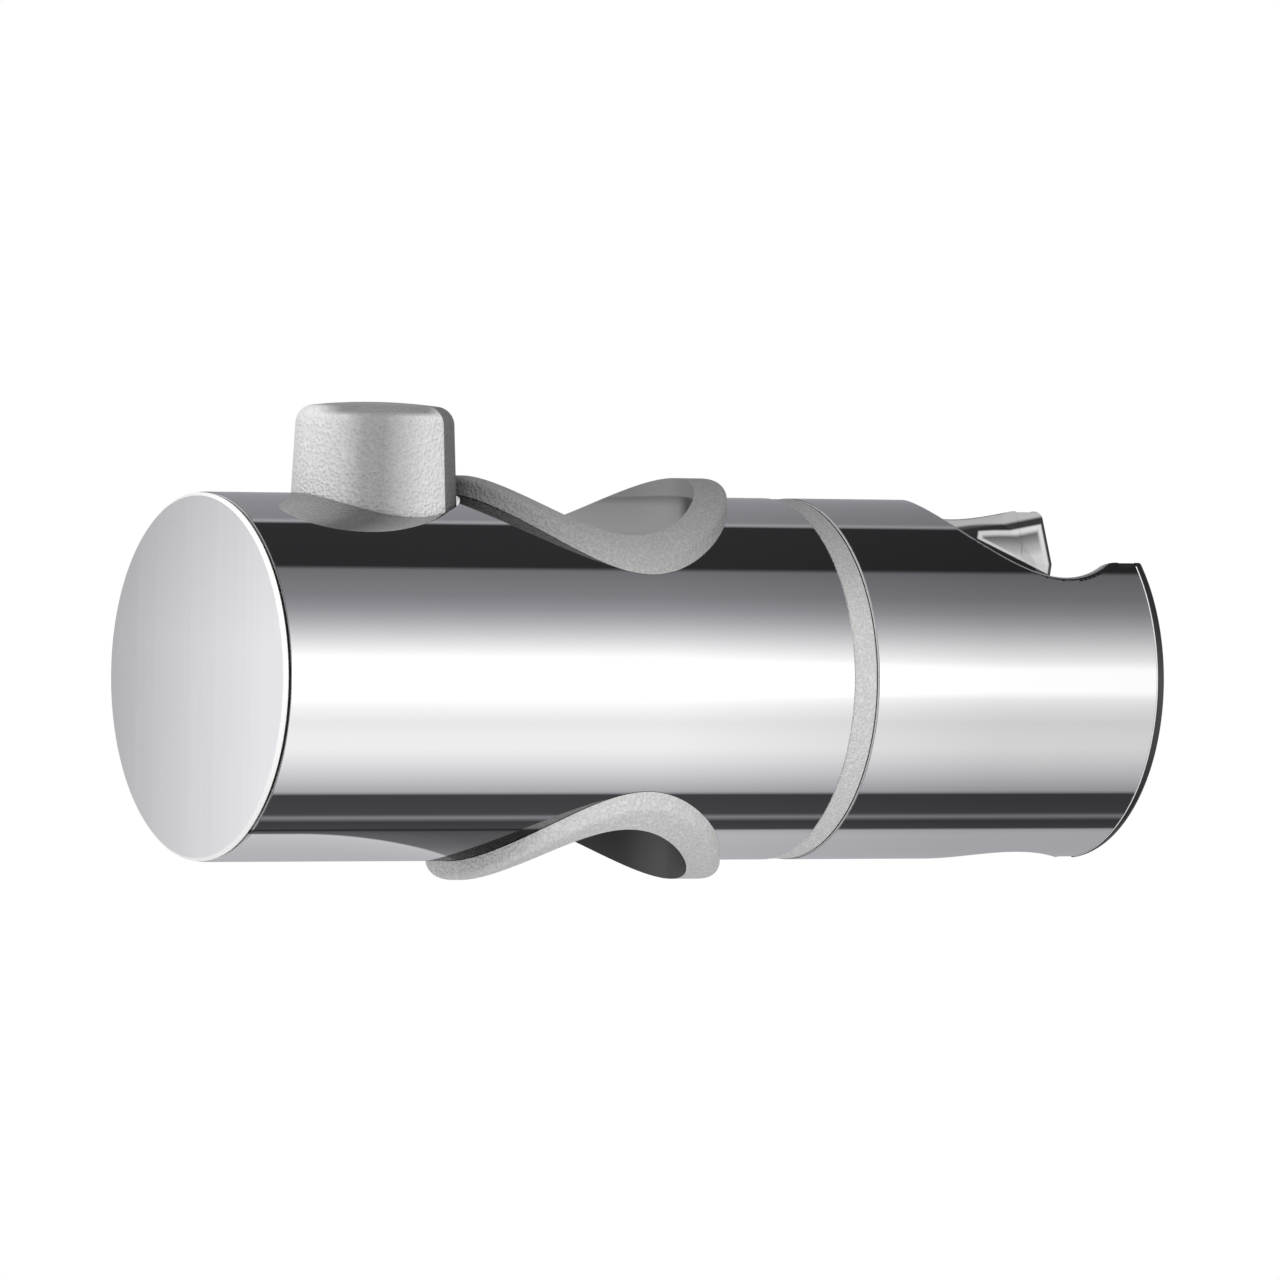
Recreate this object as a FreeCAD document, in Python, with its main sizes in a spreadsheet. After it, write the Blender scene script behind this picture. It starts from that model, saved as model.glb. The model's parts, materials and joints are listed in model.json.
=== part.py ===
import FreeCAD, Part
import os

import Sketcher
from FreeCAD import Placement, Rotation, Vector

# Shower rail slider: a chromed cylinder that clamps on an upright riser rail,
# with a handset cradle that turns on its right end.
# Origin where the rail's axis crosses the cylinder's axis.
# +X along the cylinder towards the cradle, +Z up along the rail, front is -Y.

doc = FreeCAD.newDocument("shower_rail_slider")
sheet = doc.addObject("Spreadsheet::Sheet", "Sizes")

SIZES = (
    # Cylinder
    ("body_radius", 21.0, "outside radius of body and cradle"),
    ("shell_wall", 1.8, "wall of the chromed body shell"),
    ("button_to_edge", 21.65, "button axis to the shell's left edge"),
    ("pivot_wall_thickness", 3.2, "core's wall that the pivot bears on"),
    ("edge_round", 0.2, "rounding of the shell's left edge"),
    ("fit_gap", 0.05, "clearance of seats inside one assembly"),
    ("slide_gap", 0.3, "clearance beside sliding pieces"),
    ("running_gap", 0.05, "radial clearance of the pivot"),
    # Left end
    ("disc_thickness", 0.5, "brushed end disc"),
    ("disc_bevel", 0.35, "bevel on the disc's rim"),
    ("disc_inset", 0.1, "disc's radius below the body's"),
    ("seam_width", 0.4, "dark seam between disc and shell"),
    ("seam_depth", 0.9, "how far the seam is set back"),
    ("plug_plate", 2.55, "plug's plate inside the shell"),
    ("plug_depth", 5.55, "plug's rim into the shell"),
    ("plug_rim_wall", 2.2, "wall of the plug's rim"),
    ("spring_stub_radius", 2.6, "stubs that centre the clamp spring"),
    ("spring_stub_length", 2.0, "length of those stubs"),
    # Rail bush
    ("rail_radius", 12.5, "standard 25 mm riser rail"),
    ("rail_clearance", 0.1, "radial clearance round the rail"),
    ("bush_wall_share", 0.4235, "wall of the bush, as a share of the room round the rail"),
    ("collar_overhang", 0.8, "collar past the bush's sleeve"),
    ("collar_height", 2.2, "collar above the chromed surface"),
    ("collar_round", 0.7, "rounding of the collar's outer edge"),
    ("bore_half_height", 7.5, "height of the round bore, each way"),
    ("funnel_height", 6.0, "funnel from the round bore to its full mouth"),
    ("mouth_half_length", 14.05, "collar's mouth along the cylinder"),
    ("mouth_extra_width", 1.05, "collar's mouth wider than long, each side"),
    ("mouth_shift", 1.35, "mouth shifted towards the button"),
    # Push button
    ("button_to_collar", 0.6, "gap between button and collar"),
    ("button_radius", 9.55, "button at the chromed surface"),
    ("button_taper_depth", 0.55, "radius lost up to the shoulder"),
    ("button_height", 9.8, "shoulder above the cylinder's top"),
    ("crown_radius", 62.0, "domed top of the button"),
    ("button_round", 2.2, "rounding of the button's top edge"),
    ("button_gap", 0.35, "gap round the button in the shell"),
    ("button_wall", 1.6, "side wall of the button"),
    ("button_roof", 2.6, "top wall of the button"),
    ("skirt_depth", 7.5, "button's skirt below the cylinder's top"),
    ("button_travel", 3.0, "press of the button"),
    ("well_clearance", 0.9, "room under the pressed skirt"),
    ("lug_depth", 0.7, "snap lug out of the skirt"),
    ("lug_height", 1.5, "height of a snap lug"),
    ("lug_half_width", 2.5, "half width of a snap lug"),
    ("lug_drop", 2.5, "top of a lug below the cylinder's top"),
    ("boss_radius", 4.6, "boss under the button's roof"),
    ("boss_length", 4.6, "length of that boss"),
    # Release plate
    ("plate_half_width", 5.0, "half width of the release plate"),
    ("plate_half_thickness", 2.0, "half thickness of the plate"),
    ("plate_reach", 4.2, "plate below the cylinder's axis"),
    ("tenon_half_width", 3.0, "half width of the plate's tenon"),
    ("tenon_length", 4.3, "tenon into the button's boss"),
    ("pin_radius", 1.5, "release pin"),
    ("pin_slot_gap", 0.1, "pin's clearance in the inclined slot"),
    # Clamp shoe
    ("shoe_travel", 3.0, "shoe's way back from the rail"),
    ("pad_thickness", 1.2, "rubber grip pad"),
    ("pad_margin", 0.4, "pad's edge inside the shoe's edge"),
    ("shoe_half_width", 8.0, "half width of the shoe's head"),
    ("shoe_half_height", 7.0, "half height of the shoe's head"),
    ("tail_half_width", 6.0, "half width of the forked tail"),
    ("tail_half_height", 4.5, "half height of the tail"),
    ("tail_bridge", 3.0, "bridge that closes the fork"),
    ("clamp_wire", 0.45, "wire radius of the clamp spring"),
    ("clamp_coil_radius", 3.6, "coil radius of the clamp spring"),
    ("clamp_turns", 5.5, "turns of the clamp spring"),
    ("lift_wire", 0.4, "wire radius of the button spring"),
    ("lift_coil_radius", 6.4, "coil radius of the button spring"),
    ("lift_turns", 6.0, "turns of the button spring"),
    # Swivel
    ("ring_width", 3.25, "grey ring between body and cradle"),
    ("ring_inset", 0.1, "ring's radius below the body's"),
    ("ring_bevel", 0.25, "bevels of the ring's rim"),
    ("swivel_gap", 0.15, "gap between ring and cradle"),
    ("spigot_setback", 8.0, "spigot's radius below the body's"),
    ("spigot_length", 6.8, "spigot out of the core"),
    ("groove_distance", 5.1, "shell's right edge to the rubber ring"),
    ("groove_depth", 1.6, "groove of the rubber ring"),
    ("groove_half_width", 1.05, "half width of that groove"),
    ("rubber_radius", 0.9, "section radius of the rubber ring"),
    ("hub_gap", 0.35, "hub's clearance round the spigot"),
    ("shoulder_radius", 4.0, "shoulder of the pivot screw"),
    ("thread_radius", 2.5, "thread of the pivot screw"),
    ("thread_length", 8.2, "threaded end of the pivot screw"),
    ("head_radius", 5.4, "head of the pivot screw"),
    ("head_height", 3.0, "height of that head"),
    ("head_setback", 0.4, "head behind the bush"),
    ("hex_half", 2.0, "half width across flats of the screw's socket"),
    ("hex_depth", 1.8, "depth of the screw's socket"),
    ("head_room", 0.8, "room round the screw's head"),
    ("cup_height", 1.1, "spring washer"),
    ("cup_thickness", 0.6, "sheet of the spring washer"),
    ("washer_thickness", 0.8, "thrust washer"),
    ("washer_hole", 4.3, "hole radius of both washers"),
    ("washer_radius", 5.8, "outer radius of both washers"),
    # Cradle
    ("cradle_wall", 2.1, "outer wall of the cradle"),
    ("cradle_tilt", 13.5, "socket leans towards the front"),
    ("hub_depth", 13.3, "hollow for the hub"),
    ("hub_floor", 0.35, "hub's face behind the cradle's edge"),
    ("hub_screw_inset", 2.7, "hub screws inside the cradle's bore"),
    ("hub_screw_radius", 1.45, "thread of a hub screw"),
    ("hub_screw_head", 2.4, "head radius of a hub screw"),
    ("hub_screw_seat", 2.3, "depth of the head's seat"),
    ("hub_screw_length", 16.0, "shank of a hub screw"),
    ("insert_radius", 4.4, "brass insert"),
    ("insert_length", 8.6, "length of the insert"),
    ("relief_radius", 2.3, "lightening holes in the hub"),
    ("relief_depth", 6.5, "depth of the lightening holes"),
    ("socket_web", 2.3, "wall between the hub's hollow and the socket"),
    ("socket_to_end", 9.95, "socket axis to the cradle's right edge"),
    ("socket_radius", 11.6, "cone at the cylinder's axis"),
    ("socket_taper", 0.0333, "radius gained for each mm of height"),
    ("socket_wall", 2.0, "wall round socket and slot"),
    ("mouth_round", 1.15, "rounding of the socket's mouth"),
    ("slot_half_width", 7.75, "hose slot"),
    ("flare_floor", 12.0, "height where the slot starts to flare"),
    ("flare_slope", 0.73, "half width gained for each mm of height"),
    ("cheek_reach", 8.0, "hollow cheeks to the left of the socket axis"),
    ("cheek_half_height", 10.5, "half height of the hollow cheeks"),
    ("cap_thickness", 1.3, "end cap"),
    ("cap_round", 0.9, "rounding of the cap's rim"),
    ("cap_lip", 0.9, "lip of the cap round the slot"),
    ("cap_lip_depth", 2.2, "how far the lip reaches in"),
    ("tongue_depth", 2.0, "cap's tongues in the cheeks"),
    ("tongue_gap", 0.15, "clearance round the tongues"),
)

for row, (alias, number, note) in enumerate(SIZES, start=1):
    sheet.set(f"A{row}", note)
    sheet.set(f"B{row}", str(number))
    sheet.setAlias(f"B{row}", alias)
doc.recompute()

# Places along the cylinder and radii that several pieces share, in words of the sheet
SHELL_INSIDE = "(@body_radius - @shell_wall)"
CORE_RADIUS = "(@body_radius - @shell_wall - @fit_gap)"
BORE_RADIUS = "(@rail_radius + @rail_clearance)"
SLEEVE_RADIUS = f"({BORE_RADIUS} + (@body_radius - @rail_radius) * @bush_wall_share)"
RAIL_HOLE = f"({SLEEVE_RADIUS} + @fit_gap)"
COLLAR_RADIUS = f"({SLEEVE_RADIUS} + @collar_overhang)"
BUTTON_PLACE = f"(-({COLLAR_RADIUS} + @button_to_collar + @button_radius))"
SHELL_LEFT = f"({BUTTON_PLACE} - @button_to_edge)"
CORE_LEFT = f"({SHELL_LEFT} + @plug_depth + @fit_gap)"
OUTSIDE = "(@body_radius + @collar_height + 2)"
BUTTON_FLOOR = "(@body_radius - @skirt_depth)"
WELL_RADIUS = "(@button_radius + @lug_depth + @slide_gap)"
WELL_FLOOR = "(@body_radius - @skirt_depth - @button_travel - @well_clearance)"
SHOULDER = "(@body_radius + @button_height)"
CROWN_RISE = "(@crown_radius - sqrt(@crown_radius^2 - (@button_radius - @button_taper_depth)^2))"
ROOF = "(@body_radius + @button_height - @button_roof)"
PIN_PLACE = f"({BUTTON_PLACE} + @shoe_travel / 2)"
FORK_LEFT = f"({BUTTON_PLACE} - @plate_half_width - @slide_gap - @shoe_travel / 10)"
TAIL_LEFT = f"({FORK_LEFT} - @tail_bridge)"
SHOE_BACK = f"({BUTTON_PLACE} + @plate_half_width + @shoe_travel + @slide_gap)"
PLUG_SEAT = f"({SHELL_LEFT} + @plug_plate)"
HEAD_LEFT = f"({SLEEVE_RADIUS} + @head_setback)"
HEAD_RIGHT = f"({HEAD_LEFT} + @head_height)"
CUP_LEFT = f"({HEAD_RIGHT} + @fit_gap)"
WASHER_LEFT = f"({CUP_LEFT} + @cup_height + @fit_gap)"
PIVOT_WALL = f"({WASHER_LEFT} + @washer_thickness + @fit_gap)"
SHELL_RIGHT = f"({PIVOT_WALL} + @pivot_wall_thickness)"
SPIGOT_RADIUS = "(@body_radius - @spigot_setback)"
SPIGOT_END = f"({SHELL_RIGHT} + @spigot_length)"
RING_RIGHT = f"({SHELL_RIGHT} + @ring_width)"
CRADLE_LEFT = f"({RING_RIGHT} + @swivel_gap)"
HUB_BORE = f"({SPIGOT_RADIUS} + @hub_gap)"
HUB_LEFT = f"({CRADLE_LEFT} + @hub_floor)"
HUB_FLOOR = f"({SPIGOT_END} + @slide_gap)"
HUB_RIGHT = f"({CRADLE_LEFT} + @hub_depth - @fit_gap)"
HUB_SCREW_CIRCLE = "(@body_radius - @cradle_wall - @hub_screw_inset)"
RELIEF_CIRCLE = f"((@insert_radius + {SPIGOT_RADIUS}) / 2 + @relief_radius * 0.4)"
SHOULDER_END = f"({HUB_FLOOR} + @slide_gap)"
MOUTH_RADIUS = "(@socket_radius + @socket_taper * @body_radius)"
SOCKET_PLACE = f"({CRADLE_LEFT} + @hub_depth + @socket_web + {MOUTH_RADIUS})"
CRADLE_RIGHT = f"({SOCKET_PLACE} + @socket_to_end)"
CAP_RIGHT = f"({CRADLE_RIGHT} + @cap_thickness)"

ALONG = {
    "x": Rotation(Vector(0, 1, 0), 90),
    "y": Rotation(Vector(1, 0, 0), -90),
    "z": Rotation(),
}


def words(text):
    """The expression that a text in words of the sheet stands for."""
    return text.replace("@", "Sizes.")


def measure(text):
    """The number that a text in words of the sheet gives."""
    return float(sheet.evalExpression(words(text)))


def bind(item, **sizes):
    """Ties properties of an object to the sheet."""
    for name, text in sizes.items():
        item.setExpression(name, words(text))


def settle(item, place, turn=Rotation()):
    """Puts an object at a place given in words, turned as stated."""
    item.Placement = Placement(Vector(), turn)
    for axis, text in zip("xyz", place):
        if text != "0":
            item.setExpression(f"Placement.Base.{axis}", words(text))


# Solids from primitives and booleans


def rod(name, radius, start, end, axis="z", place=("0", "0", "0")):
    """A cylinder along an axis, from start to end."""
    item = doc.addObject("Part::Cylinder", name)
    bind(item, Radius=radius, Height=f"({end}) - ({start})")
    settle(item, [start if letter == axis else text for letter, text in zip("xyz", place)], ALONG[axis])
    return item


def block(name, along_x, along_y, along_z):
    """A box between pairs of coordinates."""
    item = doc.addObject("Part::Box", name)
    spans = [f"({high}) - ({low})" for low, high in (along_x, along_y, along_z)]
    bind(item, Length=spans[0], Width=spans[1], Height=spans[2])
    settle(item, [along_x[0], along_y[0], along_z[0]])
    return item


def less(name, base, *tools):
    """The base without each tool in turn."""
    for number, tool in enumerate(tools, start=1):
        item = doc.addObject("Part::Cut", f"{name}_cut_{number}")
        item.Base = base
        item.Tool = tool
        base = item
    return base


def shared(name, *items):
    """What all items share."""
    item = doc.addObject("Part::MultiCommon", name)
    item.Shapes = list(items)
    return item


def joined(name, *items):
    """All items as one."""
    item = doc.addObject("Part::MultiFuse", name)
    item.Shapes = list(items)
    return item


def softened(name, size, base, wanted):
    """A fillet on the edges of a plain solid that the wanted test picks."""
    doc.recompute()
    radius = measure(size)
    numbers = [number for number, edge in enumerate(base.Shape.Edges, start=1)
               if not edge.Degenerated and wanted(edge)]
    if not numbers:
        raise RuntimeError(f"no edge to soften on {name}")
    item = doc.addObject("Part::Fillet", name)
    item.Base = base
    item.Edges = [(number, radius, radius) for number in numbers]
    return item


def saddle_edge(rise):
    """A test for the edges where the collar's column meets its crest."""
    column = measure(COLLAR_RADIUS)
    crest = measure("@body_radius")
    height = measure(rise)

    def wanted(edge):
        points = edge.discretize(5)
        return all(abs((point.x ** 2 + point.y ** 2) ** 0.5 - column) < 0.01
                   and abs((point.y ** 2 + (point.z - height) ** 2) ** 0.5 - crest) < 0.01
                   and (point.z - height) * height > 0
                   for point in points)

    return wanted


def mouth_edge():
    """A test for the upper edge where the socket's cone leaves the cradle's barrel."""
    body = measure("@body_radius")
    centre = measure(SOCKET_PLACE)
    radius = measure("@socket_radius")
    taper = measure("@socket_taper")

    def wanted(edge):
        points = edge.discretize(5)
        return all(point.z > 0 and abs((point.y ** 2 + point.z ** 2) ** 0.5 - body) < 0.01
                   and abs(((point.x - centre) ** 2 + point.y ** 2) ** 0.5 - radius - taper * point.z) < 0.01
                   for point in points)

    return wanted


# Bodies from sketches


def new_body(label):
    body = doc.addObject("PartDesign::Body", label)
    body.Label = label
    return body


def sketch_on(body, plane, offset="0"):
    """An empty sketch on one of the body's own origin planes."""
    sketch = body.newObject("Sketcher::SketchObject", f"{body.Name}_sketch")
    support = [item for item in body.Origin.OriginFeatures if item.Role == plane][0]
    sketch.AttachmentSupport = [(support, "")]
    sketch.MapMode = "FlatFace"
    if offset != "0":
        sketch.setExpression("AttachmentOffset.Base.z", words(offset))
    return sketch


def pin_point(sketch, element, point, u, v):
    """Holds a sketch point at coordinates given in words."""
    for kind, axis, text in (("DistanceX", -2, u), ("DistanceY", -1, v)):
        if text == "0":
            sketch.addConstraint(Sketcher.Constraint("PointOnObject", element, point, axis))
            continue
        number = sketch.addConstraint(
            Sketcher.Constraint(kind, -1, 1, element, point, measure(text)))
        sketch.setExpression(f"Constraints[{number}]", words(text))


def outline(sketch, corners):
    """A closed outline of straight lines through corners given in words."""
    points = [Vector(measure(u), measure(v), 0) for u, v in corners]
    first = sketch.GeometryCount
    count = len(points)
    for index in range(count):
        sketch.addGeometry(Part.LineSegment(points[index], points[(index + 1) % count]))
    for index in range(count):
        following = first + (index + 1) % count
        sketch.addConstraint(Sketcher.Constraint("Coincident", first + index, 2, following, 1))
    for index, (u, v) in enumerate(corners):
        pin_point(sketch, first + index, 1, u, v)
    return sketch


def rectangle(sketch, left, right, low, high):
    return outline(sketch, [(left, low), (right, low), (right, high), (left, high)])


def circle(sketch, u, v, radius):
    centre = Vector(measure(u), measure(v), 0)
    element = sketch.addGeometry(Part.Circle(centre, Vector(0, 0, 1), measure(radius)))
    number = sketch.addConstraint(Sketcher.Constraint("Radius", element, measure(radius)))
    sketch.setExpression(f"Constraints[{number}]", words(radius))
    pin_point(sketch, element, 3, u, v)
    return sketch


def turned(body, sketch, axis="H_Axis"):
    """A solid of revolution about one of the sketch's axes."""
    feature = body.newObject("PartDesign::Revolution", f"{body.Name}_turned")
    feature.Profile = (sketch, [""])
    feature.ReferenceAxis = (sketch, [axis])
    feature.Angle = 360
    return feature


def grown(body, sketch, length, both_ways=False, backwards=False):
    """A pad from a sketch."""
    feature = body.newObject("PartDesign::Pad", f"{body.Name}_pad")
    feature.Profile = (sketch, [""])
    feature.SideType = "Symmetric" if both_ways else "One side"
    feature.Reversed = backwards
    bind(feature, Length=length)
    return feature


def removed(body, sketch, length=None, both_ways=False, along_normal=True):
    """A pocket from a sketch: through everything where no length is given."""
    doc.recompute()
    before = body.Shape.Volume
    feature = body.newObject("PartDesign::Pocket", f"{body.Name}_pocket")
    feature.Profile = (sketch, [""])
    feature.SideType = "Symmetric" if both_ways else "One side"
    feature.Reversed = along_normal and not both_ways
    if length is None:
        feature.Type = "ThroughAll"
    else:
        bind(feature, Length=length)
    doc.recompute()
    if not body.Shape.Volume < before:
        raise RuntimeError(f"a pocket in {body.Label} cuts nothing")
    return feature


def rounded(body, kind, size, wanted):
    """A fillet or chamfer on the edges that the wanted test picks."""
    doc.recompute()
    tip = body.Tip
    names = [f"Edge{number}" for number, edge in enumerate(tip.Shape.Edges, start=1)
             if not edge.Degenerated and wanted(edge)]
    if not names:
        raise RuntimeError(f"no edge to round on {body.Label}")
    feature = body.newObject(f"PartDesign::{kind}", f"{body.Name}_{kind.lower()}")
    feature.Base = (tip, names)
    bind(feature, **{"Radius" if kind == "Fillet" else "Size": size})
    return feature


def ring_edge(place, radius, axis="x"):
    """A test for the circular edge with a radius round an axis, at a place along it."""
    target_place = measure(place)
    target_radius = measure(radius)

    def wanted(edge):
        if not isinstance(edge.Curve, Part.Circle):
            return False
        centre = edge.Curve.Center
        along = centre.x if axis == "x" else centre.z
        return abs(along - target_place) < 0.001 and abs(edge.Curve.Radius - target_radius) < 0.001

    return wanted


def copied_round(feature, body, count):
    """Copies of a feature round the body's X axis."""
    pattern = body.newObject("PartDesign::PolarPattern", f"{body.Name}_pattern")
    pattern.Originals = [feature]
    axis = [item for item in body.Origin.OriginFeatures if item.Role == "X_Axis"][0]
    pattern.Axis = (axis, [""])
    pattern.Angle = 360
    pattern.Occurrences = count
    body.Tip = pattern
    return pattern


# Body shell: a chromed tube with a hole for the rail bush and one for the button


def make_body_shell():
    body = new_body("body_shell")
    profile = rectangle(sketch_on(body, "XY_Plane"),
                        SHELL_LEFT, SHELL_RIGHT, SHELL_INSIDE, "@body_radius")
    turned(body, profile)
    rounded(body, "Fillet", "@edge_round", ring_edge(SHELL_LEFT, "@body_radius"))
    removed(body, circle(sketch_on(body, "XY_Plane"), "0", "0", RAIL_HOLE), both_ways=True)
    hole = circle(sketch_on(body, "XY_Plane"), BUTTON_PLACE, "0", "@button_radius + @button_gap")
    removed(body, hole)
    return body


# Left end: brushed disc on a dark plug


def make_end_disc():
    body = new_body("end_disc")
    left = f"{SHELL_LEFT} - @seam_width - @disc_thickness"
    right = f"{SHELL_LEFT} - @seam_width"
    radius = "@body_radius - @disc_inset"
    profile = outline(sketch_on(body, "XY_Plane"), [
        (left, "0"), (right, "0"), (right, radius),
        (f"{left} + @disc_bevel", radius), (left, f"{radius} - @disc_bevel")])
    turned(body, profile)
    return body


def make_end_plug():
    body = new_body("end_plug")
    rim_inside = f"{CORE_RADIUS} - @plug_rim_wall"
    profile = outline(sketch_on(body, "XY_Plane"), [
        (f"{SHELL_LEFT} - @seam_width", "0"),
        (f"{PLUG_SEAT} + @spring_stub_length", "0"),
        (f"{PLUG_SEAT} + @spring_stub_length", "@spring_stub_radius"),
        (PLUG_SEAT, "@spring_stub_radius"),
        (PLUG_SEAT, rim_inside),
        (f"{SHELL_LEFT} + @plug_depth", rim_inside),
        (f"{SHELL_LEFT} + @plug_depth", CORE_RADIUS),
        (SHELL_LEFT, CORE_RADIUS),
        (SHELL_LEFT, "@body_radius - @seam_depth"),
        (f"{SHELL_LEFT} - @seam_width", "@body_radius - @seam_depth")])
    turned(body, profile)
    notch = rectangle(sketch_on(body, "XZ_Plane"), f"{PLUG_SEAT} + @plug_plate / 2",
                      f"{SHELL_LEFT} + @plug_depth + 1", "-@spring_stub_radius", "@spring_stub_radius")
    removed(body, notch, both_ways=True)
    return body


# Core: the moulded carrier inside the shell


def make_core():
    body = new_body("core")
    groove_bottom = f"{SPIGOT_RADIUS} - @groove_depth"
    groove_left = f"{SHELL_RIGHT} + @groove_distance - @groove_half_width"
    groove_right = f"{SHELL_RIGHT} + @groove_distance + @groove_half_width"
    waist = f"{CORE_RADIUS} - @plug_rim_wall"
    rib = "@shell_wall"
    profile = outline(sketch_on(body, "XY_Plane"), [
        (CORE_LEFT, "0"),
        (CORE_LEFT, CORE_RADIUS),
        (f"{CORE_LEFT} + {rib}", CORE_RADIUS),
        (f"{CORE_LEFT} + {rib}", waist),
        (f"{CORE_LEFT} + 2 * {rib}", waist),
        (f"{CORE_LEFT} + 2 * {rib}", CORE_RADIUS),
        (f"{SHELL_RIGHT} - 3 * {rib}", CORE_RADIUS),
        (f"{SHELL_RIGHT} - 3 * {rib}", waist),
        (f"{SHELL_RIGHT} - {rib}", waist),
        (f"{SHELL_RIGHT} - {rib}", CORE_RADIUS),
        (SHELL_RIGHT, CORE_RADIUS),
        (SHELL_RIGHT, SPIGOT_RADIUS),
        (groove_left, SPIGOT_RADIUS),
        (groove_left, groove_bottom),
        (groove_right, groove_bottom),
        (groove_right, SPIGOT_RADIUS),
        (SPIGOT_END, SPIGOT_RADIUS),
        (SPIGOT_END, "0")])
    turned(body, profile)
    removed(body, circle(sketch_on(body, "XY_Plane"), "0", "0", RAIL_HOLE), both_ways=True)
    # Well for the button's skirt and its spring
    removed(body, circle(sketch_on(body, "XY_Plane", WELL_FLOOR), BUTTON_PLACE, "0", WELL_RADIUS))
    # Channels for the shoe's tail and head
    tail = rectangle(sketch_on(body, "XY_Plane"), f"{CORE_LEFT} - 1", f"-{BORE_RADIUS}",
                     "-@tail_half_width - @slide_gap", "@tail_half_width + @slide_gap")
    removed(body, tail, "2 * (@tail_half_height + @slide_gap)", both_ways=True)
    head = rectangle(sketch_on(body, "XY_Plane"), f"{SHOE_BACK} - @shoe_travel - @slide_gap",
                     f"-{BORE_RADIUS}", "-@shoe_half_width - @slide_gap",
                     "@shoe_half_width + @slide_gap")
    removed(body, head, "2 * (@shoe_half_height + @slide_gap)", both_ways=True)
    # Guide of the release plate
    guide = rectangle(sketch_on(body, "XY_Plane", "-@plate_reach - @button_travel - @slide_gap"),
                      f"{BUTTON_PLACE} - @plate_half_width - @slide_gap",
                      f"{BUTTON_PLACE} + @plate_half_width + @slide_gap",
                      "-@plate_half_thickness - @slide_gap", "@plate_half_thickness + @slide_gap")
    removed(body, guide, f"{WELL_FLOOR} + @plate_reach + @button_travel + @slide_gap + 0.01")
    # Pocket for the screw's head and washers, and the pivot's hole
    removed(body, circle(sketch_on(body, "YZ_Plane"), "0", "0", "@head_radius + @head_room"), PIVOT_WALL)
    removed(body, circle(sketch_on(body, "YZ_Plane"), "0", "0", "@shoulder_radius + @running_gap"),
            f"{SPIGOT_END} + 1")
    return body


# Rail bush: two halves, each a sleeve with a saddle-shaped collar and an oval funnel


def make_bush(label, side):
    """One half of the bush: side is 1 for the upper and -1 for the lower half."""
    rise = "@collar_height" if side > 0 else "-@collar_height"
    low, high = ("0", OUTSIDE) if side > 0 else (f"-{OUTSIDE}", "0")
    reach = f"{COLLAR_RADIUS} + 1"
    column = rod(f"{label}_column", COLLAR_RADIUS, low, high)
    crest = rod(f"{label}_crest", "@body_radius", f"-({reach})", reach, "x", ("0", "0", rise))
    trunk = rod(f"{label}_trunk", "@body_radius - @fit_gap", f"-({reach})", reach, "x")
    collar = softened(f"{label}_collar", "@collar_round",
                      shared(f"{label}_blank", column, joined(f"{label}_saddle", crest, trunk)),
                      saddle_edge(rise))
    # The collar sits on the chromed surface and only its sleeve goes inside
    inside = rod(f"{label}_inside", "@body_radius + @fit_gap", f"-({reach})", reach, "x")
    sleeve_space = rod(f"{label}_sleeve", SLEEVE_RADIUS, f"-{OUTSIDE}", OUTSIDE)
    seat = less(f"{label}_seat", inside, sleeve_space)
    half_space = block(f"{label}_half", (f"-({reach})", reach), (f"-({reach})", reach), (low, high))
    bore = rod(f"{label}_bore", BORE_RADIUS, f"-{OUTSIDE}", OUTSIDE)
    window = block(f"{label}_window", (f"-({reach})", "0"),
                   ("-@shoe_half_width - @slide_gap", "@shoe_half_width + @slide_gap"),
                   ("-@shoe_half_height - @slide_gap", "@shoe_half_height + @slide_gap"))
    whole = shared(f"{label}_whole", less(f"{label}_ring", collar, seat), half_space)
    return less(label, whole, make_funnel(label, side), bore, window)


def make_funnel(label, side):
    """The collar's oval mouth: it narrows to the round bore inside the body."""
    sign = "" if side > 0 else "-"
    start = doc.addObject("Part::Circle", f"{label}_round")
    bind(start, Radius=BORE_RADIUS)
    settle(start, ("0", "0", f"{sign}@bore_half_height"))
    sections = [start]
    for number, height in enumerate(("(@bore_half_height + @funnel_height)", OUTSIDE), start=1):
        oval = doc.addObject("Part::Ellipse", f"{label}_oval_{number}")
        bind(oval, MajorRadius="@mouth_half_length + @mouth_extra_width", MinorRadius="@mouth_half_length")
        settle(oval, ("-@mouth_shift", "0", f"{sign}{height}"), Rotation(Vector(0, 0, 1), 90))
        sections.append(oval)
    funnel = doc.addObject("Part::Loft", f"{label}_funnel")
    funnel.Sections = sections
    funnel.Solid = True
    funnel.Ruled = True
    return funnel


# Clamp shoe with its pad and pin


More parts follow.
